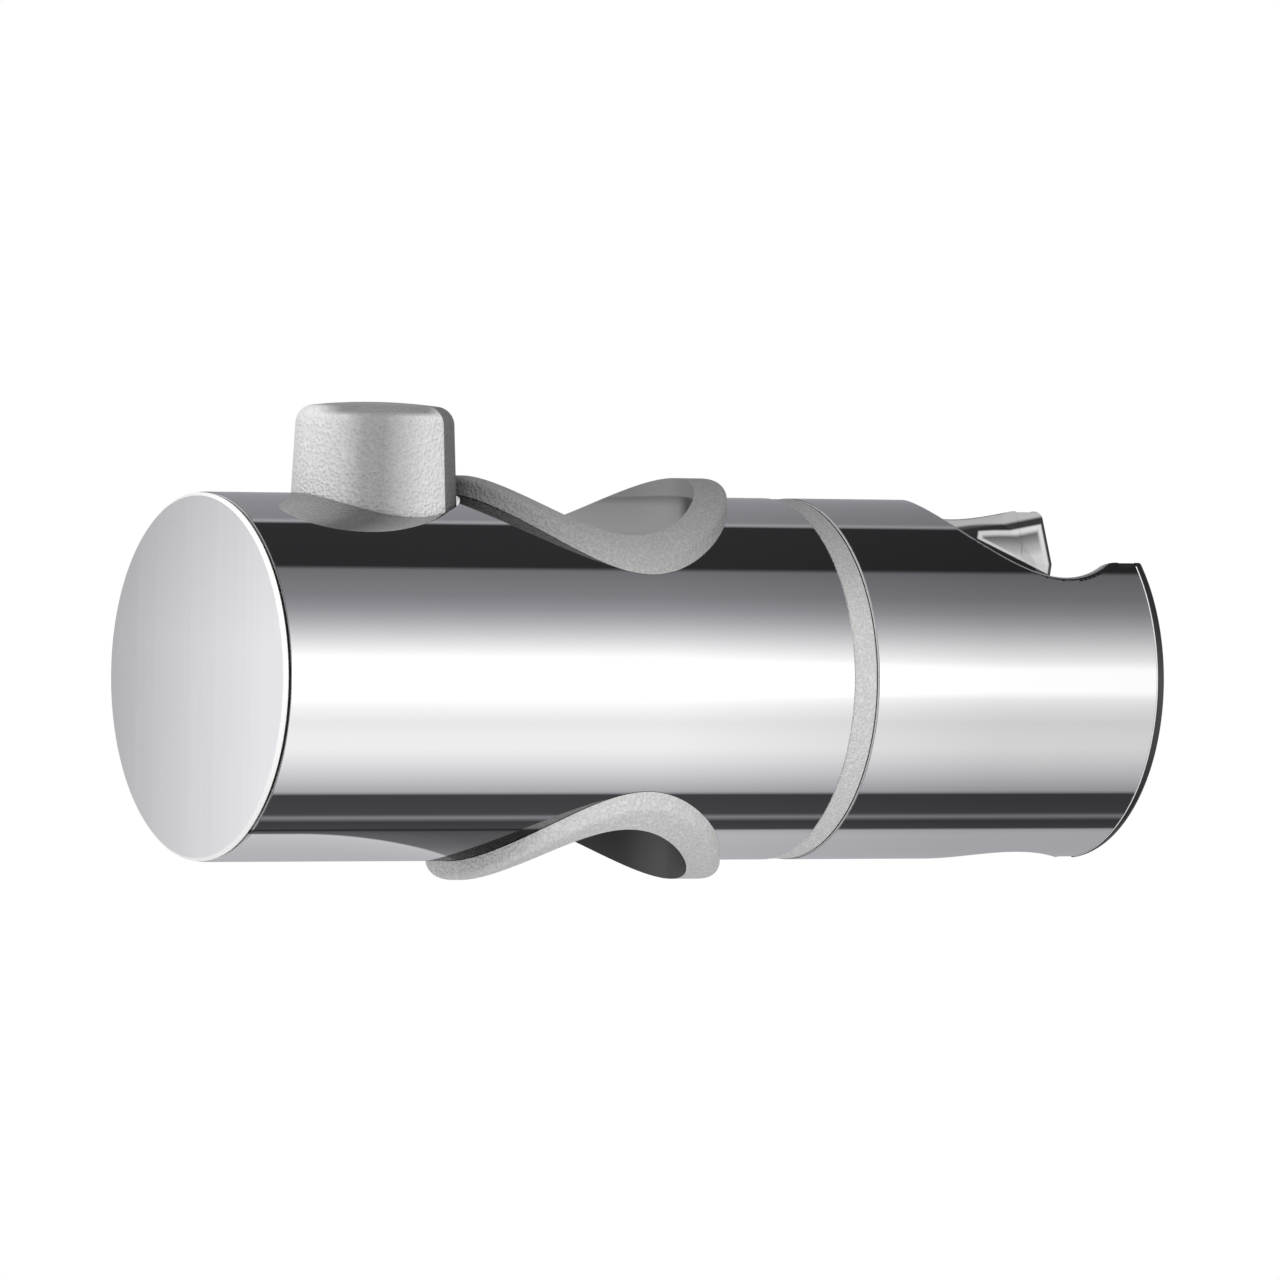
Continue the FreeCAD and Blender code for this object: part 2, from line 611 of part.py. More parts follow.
def make_clamp_shoe():
    body = new_body("clamp_shoe")
    head = rectangle(sketch_on(body, "XY_Plane"), SHOE_BACK, f"-{BORE_RADIUS} + @pad_thickness * 2",
                     "-@shoe_half_width", "@shoe_half_width")
    grown(body, head, "2 * @shoe_half_height", both_ways=True)
    tail = rectangle(sketch_on(body, "XY_Plane"), TAIL_LEFT, f"{SHOE_BACK} + 1",
                     "-@tail_half_width", "@tail_half_width")
    grown(body, tail, "2 * @tail_half_height", both_ways=True)
    stub = circle(sketch_on(body, "YZ_Plane", f"{TAIL_LEFT} - @spring_stub_length"),
                  "0", "0", "@spring_stub_radius")
    grown(body, stub, "@spring_stub_length + @tail_bridge / 2")
    # Face round the rail, fork round the release plate, hole for the pin
    removed(body, circle(sketch_on(body, "XY_Plane"), "0", "0",
                         f"{BORE_RADIUS} + @pad_thickness + @fit_gap"), both_ways=True)
    fork = rectangle(sketch_on(body, "XY_Plane"), FORK_LEFT, SHOE_BACK,
                     "-@plate_half_thickness - @slide_gap", "@plate_half_thickness + @slide_gap")
    removed(body, fork, both_ways=True)
    removed(body, circle(sketch_on(body, "XZ_Plane"), PIN_PLACE, "0", "@pin_radius + @fit_gap"),
            both_ways=True)
    return body


def make_grip_pad():
    space = block("pad_space", (f"-{BORE_RADIUS} - @pad_thickness - 1", "0"),
                  ("-@shoe_half_width + @pad_margin", "@shoe_half_width - @pad_margin"),
                  ("-@shoe_half_height + @pad_margin", "@shoe_half_height - @pad_margin"))
    outer = rod("pad_outer", f"{BORE_RADIUS} + @pad_thickness", f"-{OUTSIDE}", OUTSIDE)
    inner = rod("pad_inner", BORE_RADIUS, f"-{OUTSIDE}", OUTSIDE)
    return shared("grip_pad", less("pad_curve", outer, inner), space)


def make_release_pin():
    return rod("release_pin", "@pin_radius", "-@tail_half_width", "@tail_half_width", "y",
               (PIN_PLACE, "0", "0"))


def make_release_cam():
    """The plate under the button: its inclined slot drives the pin back from the rail."""
    body = new_body("release_cam")
    left = f"{BUTTON_PLACE} - @plate_half_width"
    right = f"{BUTTON_PLACE} + @plate_half_width"
    boss_floor = f"{ROOF} - @boss_length"
    tenon_top = f"{boss_floor} + @tenon_length"
    profile = outline(sketch_on(body, "XZ_Plane"), [
        (left, "-@plate_reach"), (right, "-@plate_reach"),
        (right, f"{boss_floor} - @fit_gap"),
        (f"{BUTTON_PLACE} + @tenon_half_width", f"{boss_floor} - @fit_gap"),
        (f"{BUTTON_PLACE} + @tenon_half_width", tenon_top),
        (f"{BUTTON_PLACE} - @tenon_half_width", tenon_top),
        (f"{BUTTON_PLACE} - @tenon_half_width", f"{boss_floor} - @fit_gap"),
        (left, f"{boss_floor} - @fit_gap")])
    grown(body, profile, "2 * @plate_half_thickness", both_ways=True)
    slot = sketch_on(body, "XZ_Plane")
    add_inclined_slot(slot)
    removed(body, slot, both_ways=True)
    return body


def add_inclined_slot(sketch):
    """A slot with round ends, from the pin's place at rest to its place when pressed."""
    radius = "@pin_radius + @pin_slot_gap"
    start = Vector(measure(PIN_PLACE), 0, 0)
    end = Vector(measure(f"{PIN_PLACE} - @shoe_travel"), measure("@button_travel"), 0)
    along = (end - start).normalize()
    side = Vector(-along.y, along.x, 0) * measure(radius)
    nose = along * measure(radius)
    sketch.addGeometry(Part.Arc(start + side, start - nose, start - side))
    sketch.addGeometry(Part.LineSegment(start - side, end - side))
    sketch.addGeometry(Part.Arc(end - side, end + nose, end + side))
    sketch.addGeometry(Part.LineSegment(end + side, start + side))
    # Points are joined tangentially in order round the slot
    for first, first_end, second, second_end in ((0, 2, 1, 1), (1, 2, 2, 1), (2, 2, 3, 1), (3, 2, 0, 1)):
        sketch.addConstraint(Sketcher.Constraint("Tangent", first, first_end, second, second_end))
    pin_point(sketch, 0, 3, PIN_PLACE, "0")
    pin_point(sketch, 2, 3, f"{PIN_PLACE} - @shoe_travel", "@button_travel")
    number = sketch.addConstraint(Sketcher.Constraint("Radius", 0, measure(radius)))
    sketch.setExpression(f"Constraints[{number}]", words(radius))


# Push button


def make_push_button():
    body = new_body("push_button")
    cavity = "@button_radius - @button_wall - @button_taper_depth / 2"
    boss_floor = f"{ROOF} - @boss_length"
    corners = [
        ("0", boss_floor), ("@boss_radius", boss_floor), ("@boss_radius", ROOF),
        (cavity, ROOF), (cavity, BUTTON_FLOOR), ("@button_radius", BUTTON_FLOOR),
        ("@button_radius", "@body_radius - @lug_drop"),
        ("@button_radius - @button_taper_depth", SHOULDER)]
    sketch = sketch_on(body, "XZ_Plane")
    points = [Vector(measure(u), measure(v), 0) for u, v in corners]
    apex = Vector(0, measure(f"{SHOULDER} + {CROWN_RISE}"), 0)
    for start, end in zip(points, points[1:]):
        sketch.addGeometry(Part.LineSegment(start, end))
    crown = len(corners) - 1
    centre = apex - Vector(0, measure("@crown_radius"), 0)
    rim = points[-1]
    middle = centre + ((rim - centre) + (apex - centre)).normalize() * measure("@crown_radius")
    sketch.addGeometry(Part.Arc(rim, middle, apex))
    sketch.addGeometry(Part.LineSegment(apex, points[0]))
    for index in range(crown - 1):
        sketch.addConstraint(Sketcher.Constraint("Coincident", index, 2, index + 1, 1))
    # The crown's arc may be kept the other way round, so its ends are found by place
    arc = sketch.Geometry[crown]
    rim_end, apex_end = (1, 2) if (arc.StartPoint - rim).Length < 0.001 else (2, 1)
    sketch.addConstraint(Sketcher.Constraint("Coincident", crown - 1, 2, crown, rim_end))
    sketch.addConstraint(Sketcher.Constraint("Coincident", crown, apex_end, crown + 1, 1))
    sketch.addConstraint(Sketcher.Constraint("Coincident", crown + 1, 2, 0, 1))
    for index, (u, v) in enumerate(corners[:-1]):
        pin_point(sketch, index, 1, u, v)
    pin_point(sketch, crown - 1, 2, *corners[-1])
    pin_point(sketch, crown + 1, 1, "0", f"{SHOULDER} + {CROWN_RISE}")
    sketch.addConstraint(Sketcher.Constraint("PointOnObject", crown, 3, -2))
    turned(body, sketch, "V_Axis")
    rounded(body, "Fillet", "@button_round",
            ring_edge(SHOULDER, "@button_radius - @button_taper_depth", "z"))
    tenon = rectangle(sketch_on(body, "XY_Plane", boss_floor),
                      "-@tenon_half_width - @fit_gap", "@tenon_half_width + @fit_gap",
                      "-@plate_half_thickness - @fit_gap", "@plate_half_thickness + @fit_gap")
    removed(body, tenon, "@boss_length")
    lug_top = "@body_radius - @lug_drop"
    for side in ("-", ""):
        near = f"{side}(@button_radius - @button_wall / 2)"
        far = f"{side}(@button_radius + @lug_depth)"
        lug = outline(sketch_on(body, "XZ_Plane"), [
            (near, f"{lug_top} - 2 * @lug_height"), (near, lug_top), (far, lug_top),
            (far, f"{lug_top} - @lug_height / 2")])
        grown(body, lug, "2 * @lug_half_width", both_ways=True)
    settle(body, (BUTTON_PLACE, "0", "0"))
    return body


# Springs


def make_spring(label, coil, wire, turns, start, end, axis, place):
    """A coil along an axis, from start to end; its wire is eight-sided to keep it light."""
    helix = doc.addObject("Part::Helix", f"{label}_path")
    height = f"(({end}) - ({start}) - 2 * {wire})"
    bind(helix, Radius=coil, Height=height, Pitch=f"{height} / {turns}")
    section = doc.addObject("Part::RegularPolygon", f"{label}_wire")
    section.Polygon = 8
    bind(section, Circumradius=wire)
    settle(section, (coil, "0", "0"), Rotation(Vector(1, 0, 0), 90))
    spring = doc.addObject("Part::Sweep", label)
    spring.Sections = [section]
    spring.Spine = (helix, [])
    spring.Solid = True
    spring.Frenet = True
    base = [f"{start} + {wire}" if letter == axis else text for letter, text in zip("xyz", place)]
    settle(spring, base, ALONG[axis])
    return spring


# Swivel


def make_swivel_ring():
    body = new_body("swivel_ring")
    rim = "@body_radius - @ring_inset"
    inside = f"{SPIGOT_RADIUS} + @fit_gap"
    profile = outline(sketch_on(body, "XY_Plane"), [
        (SHELL_RIGHT, inside), (RING_RIGHT, inside), (RING_RIGHT, f"{rim} - @ring_bevel"),
        (f"{RING_RIGHT} - @ring_bevel", rim), (f"{SHELL_RIGHT} + @ring_bevel", rim),
        (SHELL_RIGHT, f"{rim} - @ring_bevel")])
    turned(body, profile)
    return body


def make_friction_ring():
    ring = doc.addObject("Part::Torus", "friction_ring")
    bind(ring, Radius1=f"{SPIGOT_RADIUS} - @groove_depth + @fit_gap + @rubber_radius",
         Radius2="@rubber_radius")
    settle(ring, (f"{SHELL_RIGHT} + @groove_distance", "0", "0"), ALONG["x"])
    return ring


def make_thrust_washer():
    body = new_body("thrust_washer")
    turned(body, rectangle(sketch_on(body, "XY_Plane"), WASHER_LEFT,
                           f"{WASHER_LEFT} + @washer_thickness", "@washer_hole", "@washer_radius"))
    return body


def make_spring_washer():
    """A conical washer: its inner rim bears on the screw and its outer rim on the flat washer."""
    body = new_body("spring_washer")
    inner_right = f"{CUP_LEFT} + @cup_thickness"
    outer_right = f"{CUP_LEFT} + @cup_height"
    turned(body, outline(sketch_on(body, "XY_Plane"), [
        (CUP_LEFT, "@washer_hole"), (inner_right, "@washer_hole"),
        (outer_right, "@washer_radius"), (f"{outer_right} - @cup_thickness", "@washer_radius")]))
    return body


def make_pivot_screw():
    body = new_body("pivot_screw")
    thread = "@thread_radius - @fit_gap"
    tip = f"{SHOULDER_END} + @thread_length"
    turned(body, outline(sketch_on(body, "XY_Plane"), [
        (HEAD_LEFT, "0"), (HEAD_LEFT, "@head_radius"), (HEAD_RIGHT, "@head_radius"),
        (HEAD_RIGHT, "@shoulder_radius"), (SHOULDER_END, "@shoulder_radius"),
        (SHOULDER_END, thread), (f"{tip} - @thread_radius / 4", thread),
        (tip, "@thread_radius * 3 / 4"), (tip, "0")]))
    rounded(body, "Fillet", "@head_height / 4", ring_edge(HEAD_LEFT, "@head_radius"))
    # Hexagon socket, corner upwards
    corner = "@hex_half * 2 / sqrt(3)"
    flat = "@hex_half"
    hexagon = outline(sketch_on(body, "YZ_Plane", HEAD_LEFT), [
        ("0", corner), (f"-{flat}", f"{corner} / 2"), (f"-{flat}", f"-{corner} / 2"),
        ("0", f"-{corner}"), (flat, f"-{corner} / 2"), (flat, f"{corner} / 2")])
    removed(body, hexagon, "@hex_depth")
    lean_with_cradle(body)
    return body


# Cradle


def lean_with_cradle(item):
    """Turns a piece of the cradle to the angle that it rests at."""
    item.Placement = Placement(Vector(), Rotation(Vector(1, 0, 0), measure("@cradle_tilt")))
    item.setExpression("Placement.Rotation.Angle", words("@cradle_tilt"))


def make_socket(label, wall):
    """The cone of the handset socket, grown by a wall."""
    cone = doc.addObject("Part::Cone", f"{label}_socket")
    bind(cone, Radius1=f"@socket_radius - {OUTSIDE} * @socket_taper + {wall}",
         Radius2=f"@socket_radius + {OUTSIDE} * @socket_taper + {wall}", Height=f"2 * {OUTSIDE}")
    settle(cone, (SOCKET_PLACE, "0", f"-{OUTSIDE}"))
    return cone


def make_slot(label, start, end, wall):
    """The hose slot with its flared top, grown by a wall."""
    half = f"(@slot_half_width + {wall})"
    straight = block(f"{label}_slot", (start, end), (f"-{half}", half), (f"-{OUTSIDE}", OUTSIDE))
    flare = doc.addObject("Part::Wedge", f"{label}_flare")
    top = f"({half} + ({OUTSIDE} - @flare_floor) * @flare_slope)"
    bind(flare, Xmin="0", X2min="0", Xmax=f"({end}) - ({start})", X2max=f"({end}) - ({start})",
         Ymin="0", Ymax=f"{OUTSIDE} - @flare_floor", Zmin=f"-{half}", Zmax=half,
         Z2min=f"-{top}", Z2max=top)
    settle(flare, (start, "0", "@flare_floor"), Rotation(Vector(1, 0, 0), 90))
    return joined(f"{label}_opening", straight, flare)


def make_cheeks(label, start, end, gap):
    """The two hollows beside the socket, shrunk by a gap."""
    half = f"(@cheek_half_height - {gap})"
    barrel = rod(f"{label}_barrel", f"@body_radius - @cradle_wall - {gap}", start, end, "x")
    band = block(f"{label}_band", (start, end), (f"-{OUTSIDE}", OUTSIDE), (f"-{half}", half))
    wall = f"(@socket_wall + @cap_lip + {gap})"
    slot = block(f"{label}_keep", (SOCKET_PLACE, f"{end} + 1"),
                 (f"-@slot_half_width - {wall}", f"@slot_half_width + {wall}"),
                 (f"-{OUTSIDE}", OUTSIDE))
    return less(label, shared(f"{label}_space", barrel, band),
                make_socket(label, f"(@socket_wall + {gap})"), slot)


def make_cradle_shell():
    # The mouth is rounded while the barrel still runs past it, and the end is cut afterwards
    longer = f"({SOCKET_PLACE} + 2 * {MOUTH_RADIUS})"
    barrel = softened("cradle_mouth", "@mouth_round",
                      less("cradle_blank", rod("cradle_barrel", "@body_radius", CRADLE_LEFT, longer, "x"),
                           make_socket("cradle_bore", "0")), mouth_edge())
    end = rod("cradle_end", OUTSIDE, CRADLE_RIGHT, f"({longer} + 1)", "x")
    hollow = rod("cradle_hollow", "@body_radius - @cradle_wall", f"{CRADLE_LEFT} - 1",
                 f"{CRADLE_LEFT} + @hub_depth", "x")
    lip_space = make_slot("cradle_lip", f"{CRADLE_RIGHT} - @cap_lip_depth - @fit_gap",
                          f"{CRADLE_RIGHT} + 1", "(@cap_lip + @fit_gap)")
    pilots = joined("cradle_pilots", *[
        rod(f"cradle_pilot_{number}", "@hub_screw_radius + @fit_gap", HUB_LEFT,
            f"{HUB_LEFT} + @hub_screw_seat + @hub_screw_length + 1", "x", ("0", place, "0"))
        for number, place in enumerate((f"-{HUB_SCREW_CIRCLE}", HUB_SCREW_CIRCLE), start=1)])
    shell = less("cradle_shell", barrel, end, hollow,
                 make_slot("cradle", SOCKET_PLACE, f"{CRADLE_RIGHT} + 1", "0"), lip_space,
                 make_cheeks("cradle_cheeks", f"{SOCKET_PLACE} - @cheek_reach", f"{CRADLE_RIGHT} + 1", "0"),
                 pilots)
    lean_with_cradle(shell)
    return shell


def make_cradle_hub():
    body = new_body("cradle_hub")
    rim = "@body_radius - @cradle_wall - @fit_gap"
    turned(body, outline(sketch_on(body, "XY_Plane"), [
        (HUB_LEFT, HUB_BORE), (HUB_FLOOR, HUB_BORE),
        (HUB_FLOOR, "@insert_radius + @fit_gap"), (HUB_RIGHT, "@insert_radius + @fit_gap"),
        (HUB_RIGHT, rim), (HUB_LEFT, rim)]))
    for place in (f"-{HUB_SCREW_CIRCLE}", HUB_SCREW_CIRCLE):
        removed(body, circle(sketch_on(body, "YZ_Plane", HUB_LEFT), place, "0",
                             "@hub_screw_head + @fit_gap"), "@hub_screw_seat")
        removed(body, circle(sketch_on(body, "YZ_Plane", HUB_LEFT), place, "0",
                             "@hub_screw_radius + @fit_gap"), "@hub_depth + 1")
    relief = removed(body, circle(sketch_on(body, "YZ_Plane", f"{HUB_RIGHT} - @relief_depth"),
                                  "0", RELIEF_CIRCLE, "@relief_radius"), "@relief_depth + 1")
    copied_round(relief, body, 8)
    lean_with_cradle(body)
    return body


def make_thread_insert():
    body = new_body("thread_insert")
    left = SHOULDER_END
    right = f"{SHOULDER_END} + @insert_length"
    waist = "@insert_radius - @running_gap * 6"
    turned(body, outline(sketch_on(body, "XY_Plane"), [
        (left, "@thread_radius"), (right, "@thread_radius"), (right, "@insert_radius"),
        (f"{right} - @insert_length / 3", "@insert_radius"), (f"{right} - @insert_length / 3", waist),
        (f"{left} + @insert_length / 3", waist), (f"{left} + @insert_length / 3", "@insert_radius"),
        (left, "@insert_radius")]))
    lean_with_cradle(body)
    return body


def make_hub_screws():
    """Two screws as one group: a pan head and a shank with a pointed end each."""
    screws = []
    seat = f"{HUB_LEFT} + @hub_screw_seat"
    for number, place in enumerate((f"-{HUB_SCREW_CIRCLE}", HUB_SCREW_CIRCLE), start=1):
        head = rod(f"hub_screw_head_{number}", "@hub_screw_head", f"{HUB_LEFT} + @slide_gap", seat,
                   "x", ("0", place, "0"))
        shank = rod(f"hub_screw_shank_{number}", "@hub_screw_radius", seat,
                    f"{seat} + @hub_screw_length - @hub_screw_radius", "x", ("0", place, "0"))
        point = doc.addObject("Part::Cone", f"hub_screw_point_{number}")
        bind(point, Radius1="@hub_screw_radius", Radius2="@hub_screw_radius / 5", Height="@hub_screw_radius")
        settle(point, (f"{seat} + @hub_screw_length - @hub_screw_radius", place, "0"), ALONG["x"])
        cross = [block(f"hub_screw_cross_{number}{letter}",
                       (HUB_LEFT, f"{HUB_LEFT} + @hub_screw_seat / 2"),
                       (f"{place} - {across}", f"{place} + {across}"), (f"-{upright}", upright))
                 for letter, across, upright in (("a", "@hub_screw_head / 2", "@hub_screw_head / 8"),
                                                 ("b", "@hub_screw_head / 8", "@hub_screw_head / 2"))]
        screws.append(less(f"hub_screw_{number}",
                           joined(f"hub_screw_blank_{number}", head, shank, point), *cross))
    group = joined("hub_screws", *screws)
    lean_with_cradle(group)
    return group


def make_end_cap(label, side):
    """One side of the end cap: side is -1 in front of the slot and 1 behind it."""
    plate = new_body(f"{label}_plate")
    turned(plate, rectangle(sketch_on(plate, "XY_Plane"), CRADLE_RIGHT, CAP_RIGHT, "0", "@body_radius"))
    rounded(plate, "Fillet", "@cap_round", ring_edge(CAP_RIGHT, "@body_radius"))
    lip_start = f"{CRADLE_RIGHT} - @cap_lip_depth"
    lip_space = rod(f"{label}_lip_space", "@body_radius - @edge_round / 2", lip_start,
                    f"{CRADLE_RIGHT} + @fit_gap", "x")
    lip = shared(f"{label}_lip", lip_space,
                 make_slot(f"{label}_lip_form", lip_start, CAP_RIGHT, "@cap_lip"))
    tongues = make_cheeks(f"{label}_tongues", f"{CRADLE_RIGHT} - @tongue_depth",
                          f"{CRADLE_RIGHT} + @fit_gap", "@tongue_gap")
    width = (f"-{OUTSIDE}", "0") if side < 0 else ("0", OUTSIDE)
    half_space = block(f"{label}_half", (SOCKET_PLACE, f"{CAP_RIGHT} + 1"), width,
                       (f"-{OUTSIDE}", OUTSIDE))
    blank = shared(f"{label}_blank", joined(f"{label}_whole", plate, lip, tongues), half_space)
    cap = less(label, blank, make_socket(label, "0"),
               make_slot(label, SOCKET_PLACE, f"{CAP_RIGHT} + 1", "0"))
    lean_with_cradle(cap)
    return cap


def make_parts():
    """Every piece of the slider, by the name of its file."""
    return {
        "body_shell": make_body_shell(),
        "end_disc": make_end_disc(),
        "end_plug": make_end_plug(),
        "core": make_core(),
        "upper_bush": make_bush("upper_bush", 1),
        "lower_bush": make_bush("lower_bush", -1),
        "clamp_shoe": make_clamp_shoe(),
        "grip_pad": make_grip_pad(),
        "release_pin": make_release_pin(),
        "clamp_spring": make_spring("clamp_spring", "@clamp_coil_radius", "@clamp_wire", "@clamp_turns",
                                    f"{PLUG_SEAT} + @fit_gap", f"{TAIL_LEFT} - @fit_gap", "x",
                                    ("0", "0", "0")),
        "push_button": make_push_button(),
        "release_cam": make_release_cam(),
        "button_spring": make_spring("button_spring", "@lift_coil_radius", "@lift_wire", "@lift_turns",
                                     f"{WELL_FLOOR} + @fit_gap", f"{ROOF} - @fit_gap", "z",
                                     (BUTTON_PLACE, "0", "0")),
        "swivel_ring": make_swivel_ring(),
        "friction_ring": make_friction_ring(),
        "pivot_screw": make_pivot_screw(),
        "spring_washer": make_spring_washer(),
        "thrust_washer": make_thrust_washer(),
        "cradle_shell": make_cradle_shell(),
        "cradle_hub": make_cradle_hub(),
        "thread_insert": make_thread_insert(),
        "hub_screws": make_hub_screws(),
        "front_end_cap": make_end_cap("front_end_cap", -1),
        "rear_end_cap": make_end_cap("rear_end_cap", 1),
    }


parts = make_parts()
doc.recompute()

for name, item in parts.items():
    item.Label = name
for item in doc.Objects:
    if "Invalid" in item.State or "Error" in item.State:
        raise RuntimeError(f"{item.Name} did not build")
for name, item in parts.items():
    if item.Shape.isNull() or not item.Shape.isValid() or not item.Shape.Solids:
        raise RuntimeError(f"{name} has no valid solid")

os.makedirs("parts", exist_ok=True)
for name, item in parts.items():
    item.Shape.exportStep(f"parts/{name}.step")
    print(f"{name}: {len(item.Shape.Solids)} solid(s), {item.Shape.Volume:.1f} mm3")
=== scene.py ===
import json
from math import cos, hypot, radians, sin

import bpy
from mathutils import Matrix, Vector


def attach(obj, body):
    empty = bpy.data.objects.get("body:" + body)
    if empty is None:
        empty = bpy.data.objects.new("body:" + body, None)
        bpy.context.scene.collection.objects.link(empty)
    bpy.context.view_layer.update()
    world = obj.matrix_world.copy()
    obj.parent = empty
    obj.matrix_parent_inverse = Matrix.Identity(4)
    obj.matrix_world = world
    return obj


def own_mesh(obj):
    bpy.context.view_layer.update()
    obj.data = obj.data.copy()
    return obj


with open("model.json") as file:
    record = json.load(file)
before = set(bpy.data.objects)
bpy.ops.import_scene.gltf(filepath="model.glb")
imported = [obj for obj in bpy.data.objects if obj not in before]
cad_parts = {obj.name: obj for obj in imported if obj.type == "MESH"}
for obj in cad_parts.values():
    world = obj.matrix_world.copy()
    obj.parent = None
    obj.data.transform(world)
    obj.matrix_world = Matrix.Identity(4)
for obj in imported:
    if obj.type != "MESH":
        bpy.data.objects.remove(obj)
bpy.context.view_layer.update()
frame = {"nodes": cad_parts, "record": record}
nodes = frame["nodes"]
scene = bpy.context.scene

# Sizes in metres, as in the part's source
BODY_RADIUS = 0.021
COLLAR_HEIGHT = 0.0022
BUTTON_X = -0.02715
CRADLE_TILT = radians(13.5)
SOCKET_X = 0.05615
RING_RIGHT = 0.0281
CRADLE_RIGHT = 0.0661
SOCKET_RADIUS = 0.0116
SOCKET_TAPER = 0.0333

# Directions of the part, and the camera's turn to its left
AZIMUTH = radians(30.3)
VIEW_RIGHT = (cos(AZIMUTH), -sin(AZIMUTH), 0.0)
RIGHT = (1.0, 0.0, 0.0)
FRONT = (0.0, -1.0, 0.0)
BACK = (0.0, 1.0, 0.0)
UP = (0.0, 0.0, 1.0)
SLOT_UP = (0.0, -sin(CRADLE_TILT), cos(CRADLE_TILT))

# Small tools for materials

WHITE = (1.0, 1.0, 1.0, 1.0)
SCREEN_GAMMA = 2.2


def grey(level, warmth=0.0):
    """A linear colour from a level between 0 and 1 as seen on screen; warmth lowers blue."""
    value = level ** SCREEN_GAMMA
    return (value * (1 + warmth), value, value * (1 - warmth), 1.0)


def new_material(name):
    """An empty material with its shader, output and tree."""
    material = bpy.data.materials.new(name)
    material.use_nodes = True
    tree = material.node_tree
    shader = tree.nodes["Principled BSDF"]
    return material, tree, shader


def plain(name, colour, roughness, metallic=0.0):
    """A material with constants only."""
    material, _, shader = new_material(name)
    shader.inputs["Base Color"].default_value = colour
    shader.inputs["Roughness"].default_value = roughness
    shader.inputs["Metallic"].default_value = metallic
    return material


def add(tree, kind, **settings):
    """A node with settings; numbers and vectors that name a socket go to that socket."""
    node = tree.nodes.new(kind)
    for key, value in settings.items():
        if hasattr(node, key):
            setattr(node, key, value)
        else:
            node.inputs[key.replace("_", " ")].default_value = value
    return node


def tones(tree, number, stops, colour=grey):
    """Tones along a number; stops are pairs of the number and a level, in rising order."""
    low, high = stops[0][0], stops[-1][0]
    turn = add(tree, "ShaderNodeMapRange")
    turn.inputs["From Min"].default_value = low
    turn.inputs["From Max"].default_value = high
    tree.links.new(number, turn.inputs["Value"])
    bands = add(tree, "ShaderNodeValToRGB")
    elements = bands.color_ramp.elements
    elements.remove(elements[1])
    for place, level in stops:
        position = (place - low) / (high - low)
        stop = elements[0] if place == low else elements.new(position)
        stop.position = position
        stop.color = colour(level)
    tree.links.new(turn.outputs["Result"], bands.inputs["Fac"])
    return bands.outputs["Color"]


def measured(tree, direction, shift=0.0):
    """How far a point lies along a direction of the object, in metres."""
    place = add(tree, "ShaderNodeTexCoord")
    along = add(tree, "ShaderNodeVectorMath", operation="DOT_PRODUCT")
    along.inputs[1].default_value = direction
    tree.links.new(place.outputs["Object"], along.inputs[0])
    moved = add(tree, "ShaderNodeMath", operation="SUBTRACT")
    moved.inputs[1].default_value = shift
    tree.links.new(along.outputs["Value"], moved.inputs[0])
    return moved.outputs[0]


def calculated(tree, operation, first, second=None):
    """The result of a sum, product or root of one or two numbers or sockets."""
    node = add(tree, "ShaderNodeMath", operation=operation)
    for socket, value in zip(node.inputs, (first, second)):
        if hasattr(value, "links"):
            tree.links.new(value, socket)
        elif value is not None:
            socket.default_value = value
    return node.outputs[0]


def between(tree, number, low, high):
    """Rises from 0 to 1 while a number goes from low to high."""
    step = add(tree, "ShaderNodeMapRange")
    step.inputs["From Min"].default_value = low
    step.inputs["From Max"].default_value = high
    tree.links.new(number, step.inputs["Value"])
    return step.outputs["Result"]


def blended(tree, factor, first, second, blend="MIX"):
    """One colour over another; each is a colour or a socket."""
    node = add(tree, "ShaderNodeMix", data_type="RGBA", blend_type=blend)
    for name, value in (("Factor", factor), ("A", first), ("B", second)):
        if hasattr(value, "links"):
            tree.links.new(value, node.inputs[name])
        else:
            node.inputs[name].default_value = value
    return node.outputs["Result"]


GRAIN_FINENESS = 1.6
GRAIN_PIT = 0.08
GRAIN_CREST = 0.4


def grain_group():
    """Leather-like grain of moulded plastic: a height for the bump and a speckle for the colour."""
    group = bpy.data.node_groups.new("Moulded_grain", "ShaderNodeTree")
    group.interface.new_socket("Cells per metre", in_out="INPUT", socket_type="NodeSocketFloat")
    group.interface.new_socket("Darkest", in_out="INPUT", socket_type="NodeSocketColor")
    group.interface.new_socket("Height", in_out="OUTPUT", socket_type="NodeSocketFloat")
    group.interface.new_socket("Speckle", in_out="OUTPUT", socket_type="NodeSocketColor")
    given = add(group, "NodeGroupInput")
    result = add(group, "NodeGroupOutput")
    place = add(group, "ShaderNodeTexCoord")
    cells = add(group, "ShaderNodeTexVoronoi", feature="SMOOTH_F1", Smoothness=0.5)
    fine = add(group, "ShaderNodeTexNoise", Detail=3.0)
    finer = calculated(group, "MULTIPLY", given.outputs["Cells per metre"], GRAIN_FINENESS)
    group.links.new(given.outputs["Cells per metre"], cells.inputs["Scale"])
    group.links.new(finer, fine.inputs["Scale"])
    for texture in (cells, fine):
        group.links.new(place.outputs["Object"], texture.inputs["Vector"])
    relief = calculated(group, "MULTIPLY", cells.outputs["Distance"], fine.outputs["Fac"])
    height = between(group, relief, GRAIN_PIT, GRAIN_CREST)
    group.links.new(height, result.inputs["Height"])
    speckle = blended(group, height, given.outputs["Darkest"], WHITE)
    group.links.new(speckle, result.inputs["Speckle"])
    return group


GRAIN = grain_group()


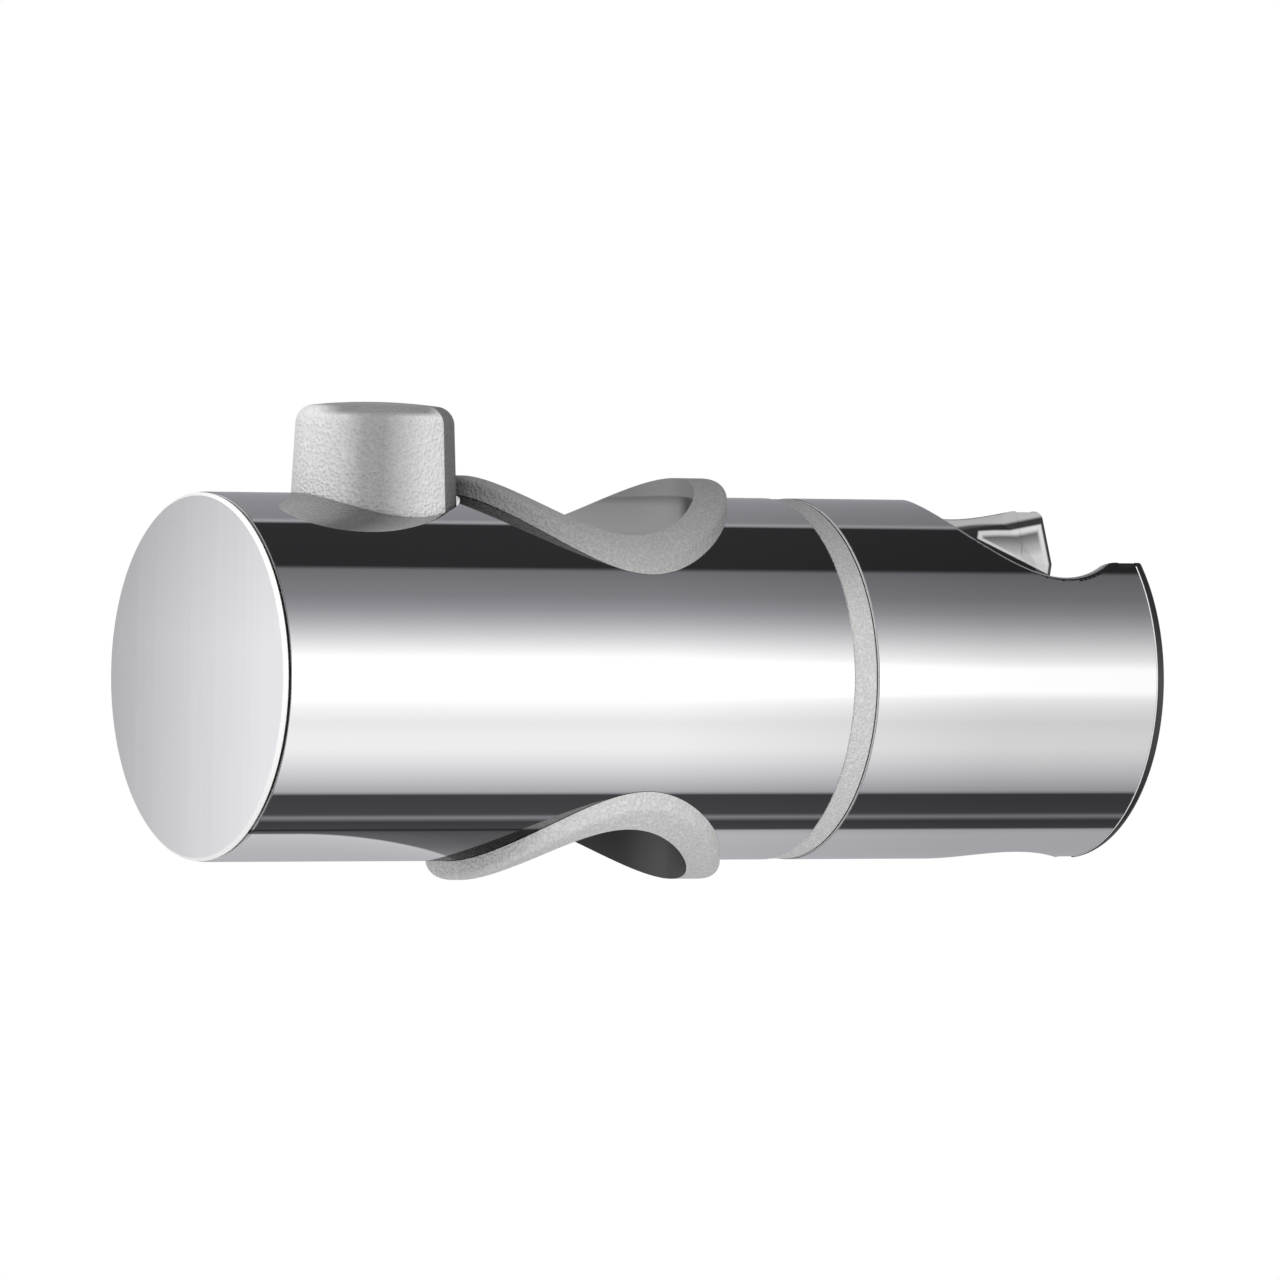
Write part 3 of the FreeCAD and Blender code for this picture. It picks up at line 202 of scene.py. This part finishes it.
def grained(name, shade, roughness, size, depth, spread):
    """A moulded plastic with a leather-like grain; shade draws its colour, with painted light and shade."""
    material, tree, shader = new_material(name)
    shader.inputs["Roughness"].default_value = roughness
    grain = add(tree, "ShaderNodeGroup", node_tree=GRAIN)
    grain.inputs["Cells per metre"].default_value = 1 / size
    grain.inputs["Darkest"].default_value = grey((1 - spread) ** 0.45)
    bump = add(tree, "ShaderNodeBump", Strength=1.0, Distance=depth)
    tree.links.new(grain.outputs["Height"], bump.inputs["Height"])
    tree.links.new(bump.outputs["Normal"], shader.inputs["Normal"])
    colour = blended(tree, 1.0, shade(tree), grain.outputs["Speckle"], "MULTIPLY")
    tree.links.new(colour, shader.inputs["Base Color"])
    return material


def dim_in_mirror(material, level):
    """Painted shade in reflections: polished metal mirrors this material darker than it looks by itself."""
    tree = material.node_tree
    shader = tree.nodes["Principled BSDF"]
    # A darker painted-shade copy of the colour, seen only by mirror rays
    shade = add(tree, "ShaderNodeBsdfDiffuse")
    own = shader.inputs["Base Color"].links[0].from_socket
    tree.links.new(blended(tree, 1.0, own, grey(level), "MULTIPLY"), shade.inputs["Color"])
    tree.links.new(shader.inputs["Normal"].links[0].from_socket, shade.inputs["Normal"])
    ray = add(tree, "ShaderNodeLightPath")
    either = add(tree, "ShaderNodeMixShader")
    tree.links.new(ray.outputs["Is Glossy Ray"], either.inputs[0])
    tree.links.new(shader.outputs[0], either.inputs[1])
    tree.links.new(shade.outputs[0], either.inputs[2])
    tree.links.new(either.outputs[0], tree.nodes["Material Output"].inputs["Surface"])
    return material


BUTTON_EDGE = 0.0299
BUTTON_TOP = 0.0309
FLANK_ANGLE = 1.03


def button_shade(tree):
    """Painted light and shade on the button: a painted satin sheen with a dark stripe across it, painted
    shade along the top edge, a painted dark flank towards the rail and a duller painted top.
    """
    across = measured(tree, VIEW_RIGHT, BUTTON_X * VIEW_RIGHT[0])
    # Painted satin sheen across the button, darkest in a stripe near its middle
    sheen = tones(tree, across, (
        (-0.01, 0.97), (-0.008, 0.985), (-0.0057, 0.94), (-0.0034, 0.845), (-0.0011, 0.65),
        (0.0012, 0.625), (0.0035, 0.775), (0.0058, 0.92), (0.0075, 0.97), (0.01, 0.97)))
    height = measured(tree, UP)
    from_left = between(tree, across, -0.0065, -0.0035)
    middle = calculated(tree, "MULTIPLY", from_left, between(tree, across, 0.0085, 0.006))
    edge = calculated(tree, "MULTIPLY", between(tree, height, BUTTON_EDGE, BUTTON_EDGE + 0.0005), middle)
    # Painted shade along the top edge
    sheen = blended(tree, edge, sheen, grey(0.57))
    turn = calculated(tree, "ARCTAN2", measured(tree, BACK), measured(tree, RIGHT, BUTTON_X))
    angle = calculated(tree, "ABSOLUTE", turn)
    # Painted shade on the flank towards the rail, then a duller painted tone on the top
    side = blended(tree, between(tree, angle, FLANK_ANGLE, FLANK_ANGLE + 0.02), grey(0.45), sheen)
    return blended(tree, between(tree, height, BUTTON_TOP, BUTTON_TOP + 0.0003), side, grey(0.62))


def trim_shade(tree):
    """Collars and ring with painted light and shade by height: lightest around the middle and below,
    darkening towards the top.
    """
    return tones(tree, measured(tree, UP), (
        (-0.0235, 0.82), (-0.0196, 0.85), (-0.016, 0.88), (-0.0127, 0.89), (-0.007, 0.9), (0.0, 0.89),
        (0.007, 0.845), (0.013, 0.72), (0.017, 0.64), (0.022, 0.56), (0.0235, 0.54)))


ARCH_START = 0.0092
ARCH_SLOPE = 0.6


def funnel_shade(tree):
    """Inside of the rail hole in painted shade that changes with height and is darkest on the front wall
    towards the cradle; near its top towards the cradle the far wall takes the collar's trim tones.
    """
    height = measured(tree, UP)
    # Painted shade inside the hole, darker deep down and near the top
    inside = tones(tree, height, (
        (-0.0235, 0.24), (-0.0125, 0.26), (0.0, 0.3), (0.014, 0.66), (0.017, 0.71), (0.0199, 0.63),
        (0.0208, 0.48), (0.0214, 0.36), (0.0235, 0.34)))
    along = measured(tree, RIGHT)
    aside = measured(tree, BACK)
    # Painted shade on the front wall towards the cradle
    in_front = between(tree, aside, -0.001, -0.0035)
    painted_end_shade = calculated(tree, "MULTIPLY", in_front, between(tree, along, 0.0, 0.004))
    inside = blended(tree, painted_end_shade, inside, grey(0.25))
    # The far wall near its top towards the cradle takes the collar's trim tones, which hold painted light
    # and shade
    square = calculated(tree, "SUBTRACT", BODY_RADIUS ** 2, calculated(tree, "POWER", aside, 2.0))
    arch = calculated(tree, "SQRT", square)
    depth = calculated(tree, "SUBTRACT", calculated(tree, "ADD", arch, COLLAR_HEIGHT), height)
    room = calculated(tree, "MULTIPLY", calculated(tree, "SUBTRACT", along, ARCH_START), ARCH_SLOPE)
    light = between(tree, calculated(tree, "SUBTRACT", room, depth), -0.0001, 0.0001)
    return blended(tree, light, inside, trim_shade(tree))


def plate_shade(tree):
    """Brushed end disc with painted light: lighter towards the front edge, with slight painted shade towards
    the top.
    """
    across = tones(
        tree, measured(tree, FRONT),
        ((-BODY_RADIUS, 0.79), (0.0, 0.94), (BODY_RADIUS, 1.03)),
        lambda level: grey(level, 0.004))
    height = tones(tree, measured(tree, UP), (
        (-BODY_RADIUS, 1.0), (0.004, 1.0), (BODY_RADIUS, 0.93)))
    return blended(tree, 1.0, across, height, "MULTIPLY")


def brushed(name, shade, roughness):
    """Steel brushed up and down on a face that looks along X."""
    material, tree, shader = new_material(name)
    shader.inputs["Metallic"].default_value = 1.0
    place = add(tree, "ShaderNodeTexCoord")
    stretch = add(tree, "ShaderNodeMapping")
    stretch.inputs["Scale"].default_value = (1.0, 1.0, 0.02)
    tree.links.new(place.outputs["Object"], stretch.inputs["Vector"])
    lines = add(tree, "ShaderNodeTexNoise", Scale=4000.0, Detail=4.0, Roughness=0.6)
    streaks = add(tree, "ShaderNodeTexNoise", Scale=700.0, Detail=2.0)
    tree.links.new(stretch.outputs["Vector"], lines.inputs["Vector"])
    tree.links.new(stretch.outputs["Vector"], streaks.inputs["Vector"])
    rough = add(tree, "ShaderNodeMapRange")
    rough.inputs["To Min"].default_value = roughness - 0.05
    rough.inputs["To Max"].default_value = roughness + 0.05
    tree.links.new(lines.outputs["Fac"], rough.inputs["Value"])
    tree.links.new(rough.outputs["Result"], shader.inputs["Roughness"])
    colour = blended(tree, lines.outputs["Fac"], grey(0.985), grey(1.0))
    wide = blended(tree, between(tree, streaks.outputs["Fac"], 0.3, 0.7), grey(0.985), grey(1.0))
    colour = blended(tree, 1.0, colour, wide, "MULTIPLY")
    tree.links.new(blended(tree, 1.0, shade(tree), colour, "MULTIPLY"), shader.inputs["Base Color"])
    bump = add(tree, "ShaderNodeBump", Strength=0.25, Distance=0.00002)
    tree.links.new(lines.outputs["Fac"], bump.inputs["Height"])
    tree.links.new(bump.outputs["Normal"], shader.inputs["Normal"])
    return material


SWEEP_LEFT = -0.0423
SWEEP_LENGTH = 0.0229
SWEEP_DROP = 0.003
SWEEP_TOP = -0.0173
SWEEP_CEILING = -0.0167
SWEEP_RIGHT = -0.0075


def chromed(name, roughness):
    """Polished chrome with painted shade: it mirrors a little less light on the cradle, and carries a
    painted dark reflection low in front.
    """
    material, tree, shader = new_material(name)
    shader.inputs["Metallic"].default_value = 1.0
    shader.inputs["Roughness"].default_value = roughness
    along = measured(tree, RIGHT)
    height = measured(tree, UP)
    # Painted shade: the cradle mirrors a little less light
    share = tones(tree, along, ((-0.05, 0.92), (0.0, 0.92), (0.045, 0.81), (0.07, 0.8)))
    # A painted dark reflection of the surroundings, with a painted light edge, sweeps down towards the lower
    # collar
    way = calculated(tree, "DIVIDE", calculated(tree, "SUBTRACT", along, SWEEP_LEFT), SWEEP_LENGTH)
    bend = calculated(tree, "POWER", calculated(tree, "MAXIMUM", way, 0.0), 1.8)
    edge = calculated(tree, "SUBTRACT", SWEEP_TOP, calculated(tree, "MULTIPLY", bend, SWEEP_DROP))
    painted_sweep = tones(tree, calculated(tree, "SUBTRACT", height, edge), (
        (-0.002, 0.92), (-0.0005, 0.95), (-0.0001, 0.98), (0.00005, 0.42), (0.002, 0.36)))
    in_front = between(tree, measured(tree, BACK), 0.001, -0.001)
    low = between(tree, height, SWEEP_CEILING, SWEEP_CEILING - 0.0002)
    low = calculated(tree, "MULTIPLY", low, in_front)
    low = calculated(tree, "MULTIPLY", low, between(tree, along, SWEEP_RIGHT, SWEEP_RIGHT - 0.0005))
    tree.links.new(blended(tree, low, share, painted_sweep), shader.inputs["Base Color"])
    return material


FACE_TOP = 0.0151
FACE_LEFT = 0.0592
FACE_RIGHT = 0.0669
FACE_SLOPE = 0.148
SLOPE_CENTRE = 0.0608
STRIP_BOTTOM = 0.0158
STRIP_LEFT = 0.0533
LIT_NORMAL = (-0.2, -0.95, 0.2)


def socket_inside(name, roughness):
    """Dark inside of the socket and slot; where the slot flares out, a face with painted shade darker
    towards its top, a painted highlight outline and a painted light strip above it.
    """
    material, tree, shader = new_material(name)
    shader.inputs["Roughness"].default_value = roughness
    along = measured(tree, RIGHT)
    slope = calculated(tree, "MULTIPLY", calculated(tree, "SUBTRACT", along, SLOPE_CENTRE), FACE_SLOPE)
    height = calculated(tree, "SUBTRACT", measured(tree, SLOT_UP), slope)
    below = calculated(tree, "SUBTRACT", FACE_TOP, height)
    slant = calculated(tree, "ADD", calculated(tree, "MULTIPLY", below, 1.8), FACE_LEFT - 0.0014)
    left = calculated(tree, "MAXIMUM", slant, FACE_LEFT)
    from_left = calculated(tree, "SUBTRACT", along, left)
    from_right = calculated(tree, "SUBTRACT", FACE_RIGHT, along)
    inset = calculated(tree, "MINIMUM", calculated(tree, "MINIMUM", from_left, from_right), below)
    # Painted shade on the flared face, darker towards its top
    face = tones(tree, height, (
        (0.0122, 0.9), (0.0128, 0.77), (0.0133, 0.7), (0.0138, 0.57), (0.0143, 0.44), (0.0151, 0.4)))
    # A painted highlight outline round the face, and dark outside it
    face = blended(tree, between(tree, inset, 0.0007, 0.0003), face, grey(0.94))
    face = blended(tree, between(tree, inset, 0.0, -0.0002), face, grey(0.2))
    # A painted light strip above the face
    strip = calculated(
        tree, "MULTIPLY", between(tree, height, STRIP_BOTTOM, STRIP_BOTTOM + 0.0003),
        between(tree, along, STRIP_LEFT, STRIP_LEFT + 0.0004))
    face = blended(tree, strip, face, grey(0.78))
    # A painted highlight: a fine light line on the rounded rim
    square = calculated(
        tree, "ADD", calculated(tree, "POWER", measured(tree, BACK), 2.0),
        calculated(tree, "POWER", measured(tree, UP), 2.0))
    out = calculated(tree, "SQRT", square)
    rim = between(tree, out, BODY_RADIUS - 0.00012, BODY_RADIUS - 0.00006)
    tree.links.new(blended(tree, rim, face, grey(0.62)), shader.inputs["Base Color"])
    # The face and the strip are lit as one surface, whatever wall they lie on
    light = calculated(tree, "MAXIMUM", strip, between(tree, inset, -0.0003, 0.0))
    own = add(tree, "ShaderNodeNewGeometry")
    even = add(tree, "ShaderNodeVectorTransform", vector_type="NORMAL", Vector=LIT_NORMAL)
    turned = blended(tree, light, own.outputs["Normal"], even.outputs[0])
    tree.links.new(turned, shader.inputs["Normal"])
    return material


def satin(name, shade, roughness):
    """A smooth material whose colour is drawn by a shade."""
    material, tree, shader = new_material(name)
    shader.inputs["Roughness"].default_value = roughness
    tree.links.new(shade(tree), shader.inputs["Base Color"])
    return material


FUNNEL = satin("Rail_hole", funnel_shade, 0.35)
SOCKET = socket_inside("Socket_inside", 0.35)
# A painted highlight for the end disc's bevel and rim
RIM_HIGHLIGHT = plain("Rim_painted_highlight", grey(1.0), 0.3)
GREY_TRIM = grained("Grey_trim", trim_shade, roughness=0.5, size=0.00038, depth=0.00009, spread=0.2)
GREY_BUTTON = grained(
    "Grey_button", button_shade, roughness=0.5, size=0.00046, depth=0.00013, spread=0.12)
MATERIALS = {
    "chrome": chromed("Chrome", 0.035),
    "brushed_plate": brushed("Brushed_plate", plate_shade, 0.36),
    "dark_plastic": plain("Dark_plastic", (0.018, 0.018, 0.02, 1.0), 0.35),
    "grey_trim": dim_in_mirror(GREY_TRIM, 0.62),
    "grey_button": dim_in_mirror(GREY_BUTTON, 0.72),
    "inner_plastic": plain("Inner_plastic", grey(0.8, 0.02), 0.45),
    "shoe_plastic": plain("Shoe_plastic", grey(0.35), 0.45),
    "black_rubber": plain("Black_rubber", (0.02, 0.02, 0.02, 1.0), 0.7),
    "bright_steel": plain("Bright_steel", (0.62, 0.62, 0.63, 1.0), 0.28, metallic=1.0),
    "brass": plain("Brass", (0.78, 0.58, 0.28, 1.0), 0.3, metallic=1.0),
}


# True normals, so that the chrome mirrors as a turned surface does

TOLERANCE = 0.00003


def rounded_normals(obj, surfaces):
    """Gives each corner the normal of the surface that its face belongs to."""
    mesh = obj.data
    given = [Vector(normal.vector) for normal in mesh.corner_normals]
    normals = []
    for polygon in mesh.polygons:
        corners = [mesh.vertices[index].co for index in polygon.vertices]
        chosen = None
        for surface in surfaces:
            found = [surface(corner) for corner in corners]
            if all(found) and all(normal.dot(polygon.normal) > 0.9 for normal in found):
                chosen = found
                break
        normals.extend(chosen or [given[index] for index in polygon.loop_indices])
    mesh.normals_split_custom_set([tuple(normal) for normal in normals])


def barrel(radius):
    """The outside of a cylinder along X."""
    def normal(point):
        radial = Vector((0, point.y, point.z))
        if abs(radial.length - radius) > TOLERANCE:
            return None
        return radial.normalized()
    return normal


def leaning_cone(place, radius, taper, axis):
    """The inside of the handset socket."""
    def normal(point):
        offset = point - Vector((place, 0, 0))
        height = offset.dot(axis)
        radial = offset - axis * height
        if abs(radial.length - radius - taper * height) > TOLERANCE:
            return None
        return (axis * taper - radial.normalized()).normalized()
    return normal


# Finishes of every solid

slots = {part["node"]: part["material_slot"] for part in frame["record"]["subparts"]}
for name, obj in nodes.items():
    obj.data.materials.clear()
    obj.data.materials.append(MATERIALS[slots[name]])


def inside_of(polygon):
    """True for faces that look towards the rail's axis."""
    centre = polygon.center
    outwards = polygon.normal.x * centre.x + polygon.normal.y * centre.y
    return outwards < -0.2 * hypot(centre.x, centre.y)


SOCKET_LEFT = SOCKET_X - 0.013


def in_socket(polygon):
    """True for faces inside the socket and the hose slot."""
    centre = polygon.center
    across = centre.y * cos(CRADLE_TILT) + centre.z * sin(CRADLE_TILT)
    facing = polygon.normal.y * cos(CRADLE_TILT) + polygon.normal.z * sin(CRADLE_TILT)
    inwards = polygon.normal.x * (centre.x - SOCKET_X) + facing * across
    outwards = polygon.normal.yz.dot(centre.yz.normalized())
    return centre.x > SOCKET_LEFT and outwards < 0.985 and inwards < -0.002


def on_rim(polygon):
    """True for the bevel and the rim of the end disc, which take a painted highlight."""
    return polygon.normal.x > -0.97


def second_material(obj, material, wanted):
    """Puts a second material on the faces that a test picks."""
    obj.data.materials.append(material)
    for polygon in obj.data.polygons:
        if wanted(polygon):
            polygon.material_index = 1


# Inner faces of the rail holes, the socket and the slot take the materials with painted light and shade
for name in ("upper_bush", "lower_bush"):
    second_material(nodes[name], FUNNEL, inside_of)
for name in ("cradle_shell", "rear_end_cap"):
    second_material(nodes[name], SOCKET, in_socket)
# The end disc's bevel and rim get the painted highlight
second_material(nodes["end_disc"], RIM_HIGHLIGHT, on_rim)

rounded_normals(nodes["body_shell"], [barrel(BODY_RADIUS)])
rounded_normals(nodes["cradle_shell"], [
    barrel(BODY_RADIUS),
    leaning_cone(SOCKET_X, SOCKET_RADIUS, SOCKET_TAPER, Vector(SLOT_UP))])

# Each spring gets a mesh of its own


def shorten(name):
    """Gives a spring its own copy of its mesh."""
    spring = nodes[name]
    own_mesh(spring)


shorten("button_spring")
shorten("clamp_spring")

# Painted light on the solids: a light band over the ring's joint and a glint on the cradle's edge

BAND_STEPS = 180


def band(name, radius, start, end, material, body, spans=((0.0, 360.0),)):
    """A narrow band round the cylinder between two places, over spans of angles."""
    points, faces = [], []
    for first, last in spans:
        base = len(points)
        for step in range(BAND_STEPS + 1):
            angle = radians(first + (last - first) * step / BAND_STEPS)
            points.extend((place, -radius * cos(angle), radius * sin(angle)) for place in (start, end))
        corners = range(base, base + 2 * BAND_STEPS, 2)
        faces.extend((corner, corner + 1, corner + 3, corner + 2) for corner in corners)
    mesh = bpy.data.meshes.new(name)
    mesh.from_pydata(points, [], faces)
    mesh.materials.append(material)
    mesh.shade_smooth()
    obj = bpy.data.objects.new(name, mesh)
    scene.collection.objects.link(obj)
    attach(obj, body)


# A light grey band painted over the gap between ring and cradle, where the gap's shade would be dark
band("Joint_painted_light", BODY_RADIUS - 0.00012, RING_RIGHT - 0.00005, RING_RIGHT + 0.0002,
     plain("Joint_painted_light", grey(0.75), 0.5), "slider")
# A painted glint on the cradle's right edge; it leaves out the slot's openings above and below
band("Edge_glint", BODY_RADIUS + 0.00002, CRADLE_RIGHT - 0.0001, CRADLE_RIGHT + 0.00004,
     plain("Edge_glint", grey(0.95), 0.3), "cradle", spans=((-80.0, 41.0), (-249.0, -127.0)))

# Studio: a pale floor, soft panels and the surroundings that the chrome mirrors

FLOOR_REACH = 2.0
FLOOR_HEIGHT = -0.3
FLOOR_GLOW = 0.9
floor_mesh = bpy.data.meshes.new("Floor")
floor_corners = [
    (across * FLOOR_REACH, away * FLOOR_REACH, FLOOR_HEIGHT)
    for across, away in ((-1, -1), (1, -1), (1, 1), (-1, 1))]
floor_mesh.from_pydata(floor_corners, [], [(0, 1, 2, 3)])
floor = bpy.data.objects.new("Floor", floor_mesh)
scene.collection.objects.link(floor)
floor.visible_glossy = False
floor_material, floor_tree, floor_shader = new_material("Floor")
floor_shader.inputs["Base Color"].default_value = (0.9, 0.9, 0.9, 1.0)
floor_shader.inputs["Roughness"].default_value = 0.9
white = add(floor_tree, "ShaderNodeEmission", Strength=1.0)
camera_ray = add(floor_tree, "ShaderNodeLightPath")
either = add(floor_tree, "ShaderNodeMixShader")
# A part of the floor's own shading stays, and with it the object's shadow
share = calculated(floor_tree, "MULTIPLY", camera_ray.outputs["Is Camera Ray"], FLOOR_GLOW)
floor_tree.links.new(share, either.inputs[0])
floor_tree.links.new(floor_shader.outputs[0], either.inputs[1])
floor_tree.links.new(white.outputs[0], either.inputs[2])
# From below the camera sees through the floor
facing = add(floor_tree, "ShaderNodeNewGeometry")
under = calculated(floor_tree, "MULTIPLY", camera_ray.outputs["Is Camera Ray"], facing.outputs["Backfacing"])
clear = add(floor_tree, "ShaderNodeBsdfTransparent")
sides = add(floor_tree, "ShaderNodeMixShader")
floor_tree.links.new(under, sides.inputs[0])
floor_tree.links.new(either.outputs[0], sides.inputs[1])
floor_tree.links.new(clear.outputs[0], sides.inputs[2])
floor_tree.links.new(sides.outputs[0], floor_tree.nodes["Material Output"].inputs["Surface"])
floor_mesh.materials.append(floor_material)


# Directions round the cylinder in degrees: 0 to the front, 90 up, 180 to the back, -90 down
SURROUNDINGS = (
    (-180, 0.6), (-165, 0.65), (-117, 0.71), (-111.5, 0.68), (-110, 0.27), (-101, 0.24), (-97, 0.5),
    (-94, 0.27), (-77.2, 0.25), (-75.2, 0.64), (-60.7, 0.8), (-52, 0.875), (-43, 0.93),
    (-35, 0.925), (-26, 0.905), (-16.4, 0.965), (-11, 1.02), (-6, 1.13), (8, 1.13), (14, 1.01),
    (21.5, 0.905), (29.3, 0.785), (37.2, 0.668), (45.2, 0.563), (54.5, 0.485),
    (73, 0.425), (75.5, 0.18), (114, 0.19), (116.5, 0.62), (120, 0.5), (165, 0.55), (180, 0.6),
)
MIRROR_STRENGTH = 1.6
MIRROR_SHARE = 0.879
MATT_STRENGTH = 0.68


def mirrored(level):
    """The colour that chrome shows at a level, with the cool tint of its half tones."""
    value = (level * MIRROR_SHARE) ** SCREEN_GAMMA
    tint = 0.5 * level * max(0.0, 1 - level) ** 1.5
    return (value * (1 + tint * 0.15), value, value * (1 + tint), 1.0)


def make_world():
    """White to the eye, even for matt surfaces, and bands of light and dark for metal."""
    world = bpy.data.worlds.new("Studio")
    scene.world = world
    world.use_nodes = True
    tree = world.node_tree
    tree.nodes.clear()
    place = add(tree, "ShaderNodeTexCoord")
    parts = add(tree, "ShaderNodeSeparateXYZ")
    tree.links.new(place.outputs["Generated"], parts.inputs[0])
    front = calculated(tree, "MULTIPLY", parts.outputs["Y"], -1.0)
    angle = calculated(tree, "ARCTAN2", parts.outputs["Z"], front)
    bands = tones(tree, calculated(tree, "DEGREES", angle), SURROUNDINGS, mirrored)
    ray = add(tree, "ShaderNodeLightPath")
    metal = add(tree, "ShaderNodeBackground", Strength=MIRROR_STRENGTH)
    tree.links.new(bands, metal.inputs["Color"])
    matt = add(tree, "ShaderNodeBackground", Strength=MATT_STRENGTH)
    eye = add(tree, "ShaderNodeBackground", Strength=1.0)
    for background in (matt, eye):
        background.inputs["Color"].default_value = WHITE
    glossy = add(tree, "ShaderNodeMixShader")
    seen = add(tree, "ShaderNodeMixShader")
    output = add(tree, "ShaderNodeOutputWorld")
    tree.links.new(ray.outputs["Is Glossy Ray"], glossy.inputs[0])
    tree.links.new(matt.outputs[0], glossy.inputs[1])
    tree.links.new(metal.outputs[0], glossy.inputs[2])
    tree.links.new(ray.outputs["Is Camera Ray"], seen.inputs[0])
    tree.links.new(glossy.outputs[0], seen.inputs[1])
    tree.links.new(eye.outputs[0], seen.inputs[2])
    tree.links.new(seen.outputs[0], output.inputs["Surface"])


make_world()


def panel(name, place, size, watts, glossy=True):
    """A soft rectangular light that faces the part."""
    light = bpy.data.lights.new(name, "AREA")
    light.shape = "RECTANGLE"
    light.size, light.size_y = size
    light.energy = watts
    obj = bpy.data.objects.new(name, light)
    obj.location = place
    obj.rotation_mode = "QUATERNION"
    obj.rotation_quaternion = (-Vector(place)).to_track_quat("-Z", "Y")
    obj.visible_glossy = glossy
    scene.collection.objects.link(obj)


panel("Left_panel", (-0.9, 0.7, 0.1), (0.9, 1.2), 2.4)
panel("Key_panel", (-0.6, -1.0, 1.1), (0.8, 0.8), 9.0, glossy=False)

# Camera at the photograph's angle; lengths in the picture are in pixels of its frame

FRAME = 1280
FOCAL_LENGTH = 12676
AXIS_FROM_LEFT = 634.4
AXIS_FROM_TOP = 678.3
ELEVATION = radians(1.6)
ROLL = radians(1.14)
DISTANCE = 1.465
AIM = Vector((0.00781, 0, 0))
SENSOR = 36.0

back = Vector((-sin(AZIMUTH) * cos(ELEVATION), -cos(AZIMUTH) * cos(ELEVATION), sin(ELEVATION)))
right = Vector(VIEW_RIGHT)
up = back.cross(right)
camera_right = right * cos(ROLL) + up * sin(ROLL)
camera_up = up * cos(ROLL) - right * sin(ROLL)
camera = bpy.data.cameras.new("Camera")
camera.sensor_width = SENSOR
camera.lens = SENSOR * FOCAL_LENGTH / FRAME
camera.shift_x = (FRAME / 2 - AXIS_FROM_LEFT) / FRAME
camera.shift_y = (AXIS_FROM_TOP - FRAME / 2) / FRAME
camera.clip_start = 0.05
camera.clip_end = 50.0
holder = bpy.data.objects.new("Camera", camera)
turned = Matrix((camera_right, camera_up, back)).transposed()
holder.matrix_world = Matrix.Translation(AIM + back * DISTANCE) @ turned.to_4x4()
scene.collection.objects.link(holder)
scene.camera = holder

scene.view_settings.view_transform = "Standard"
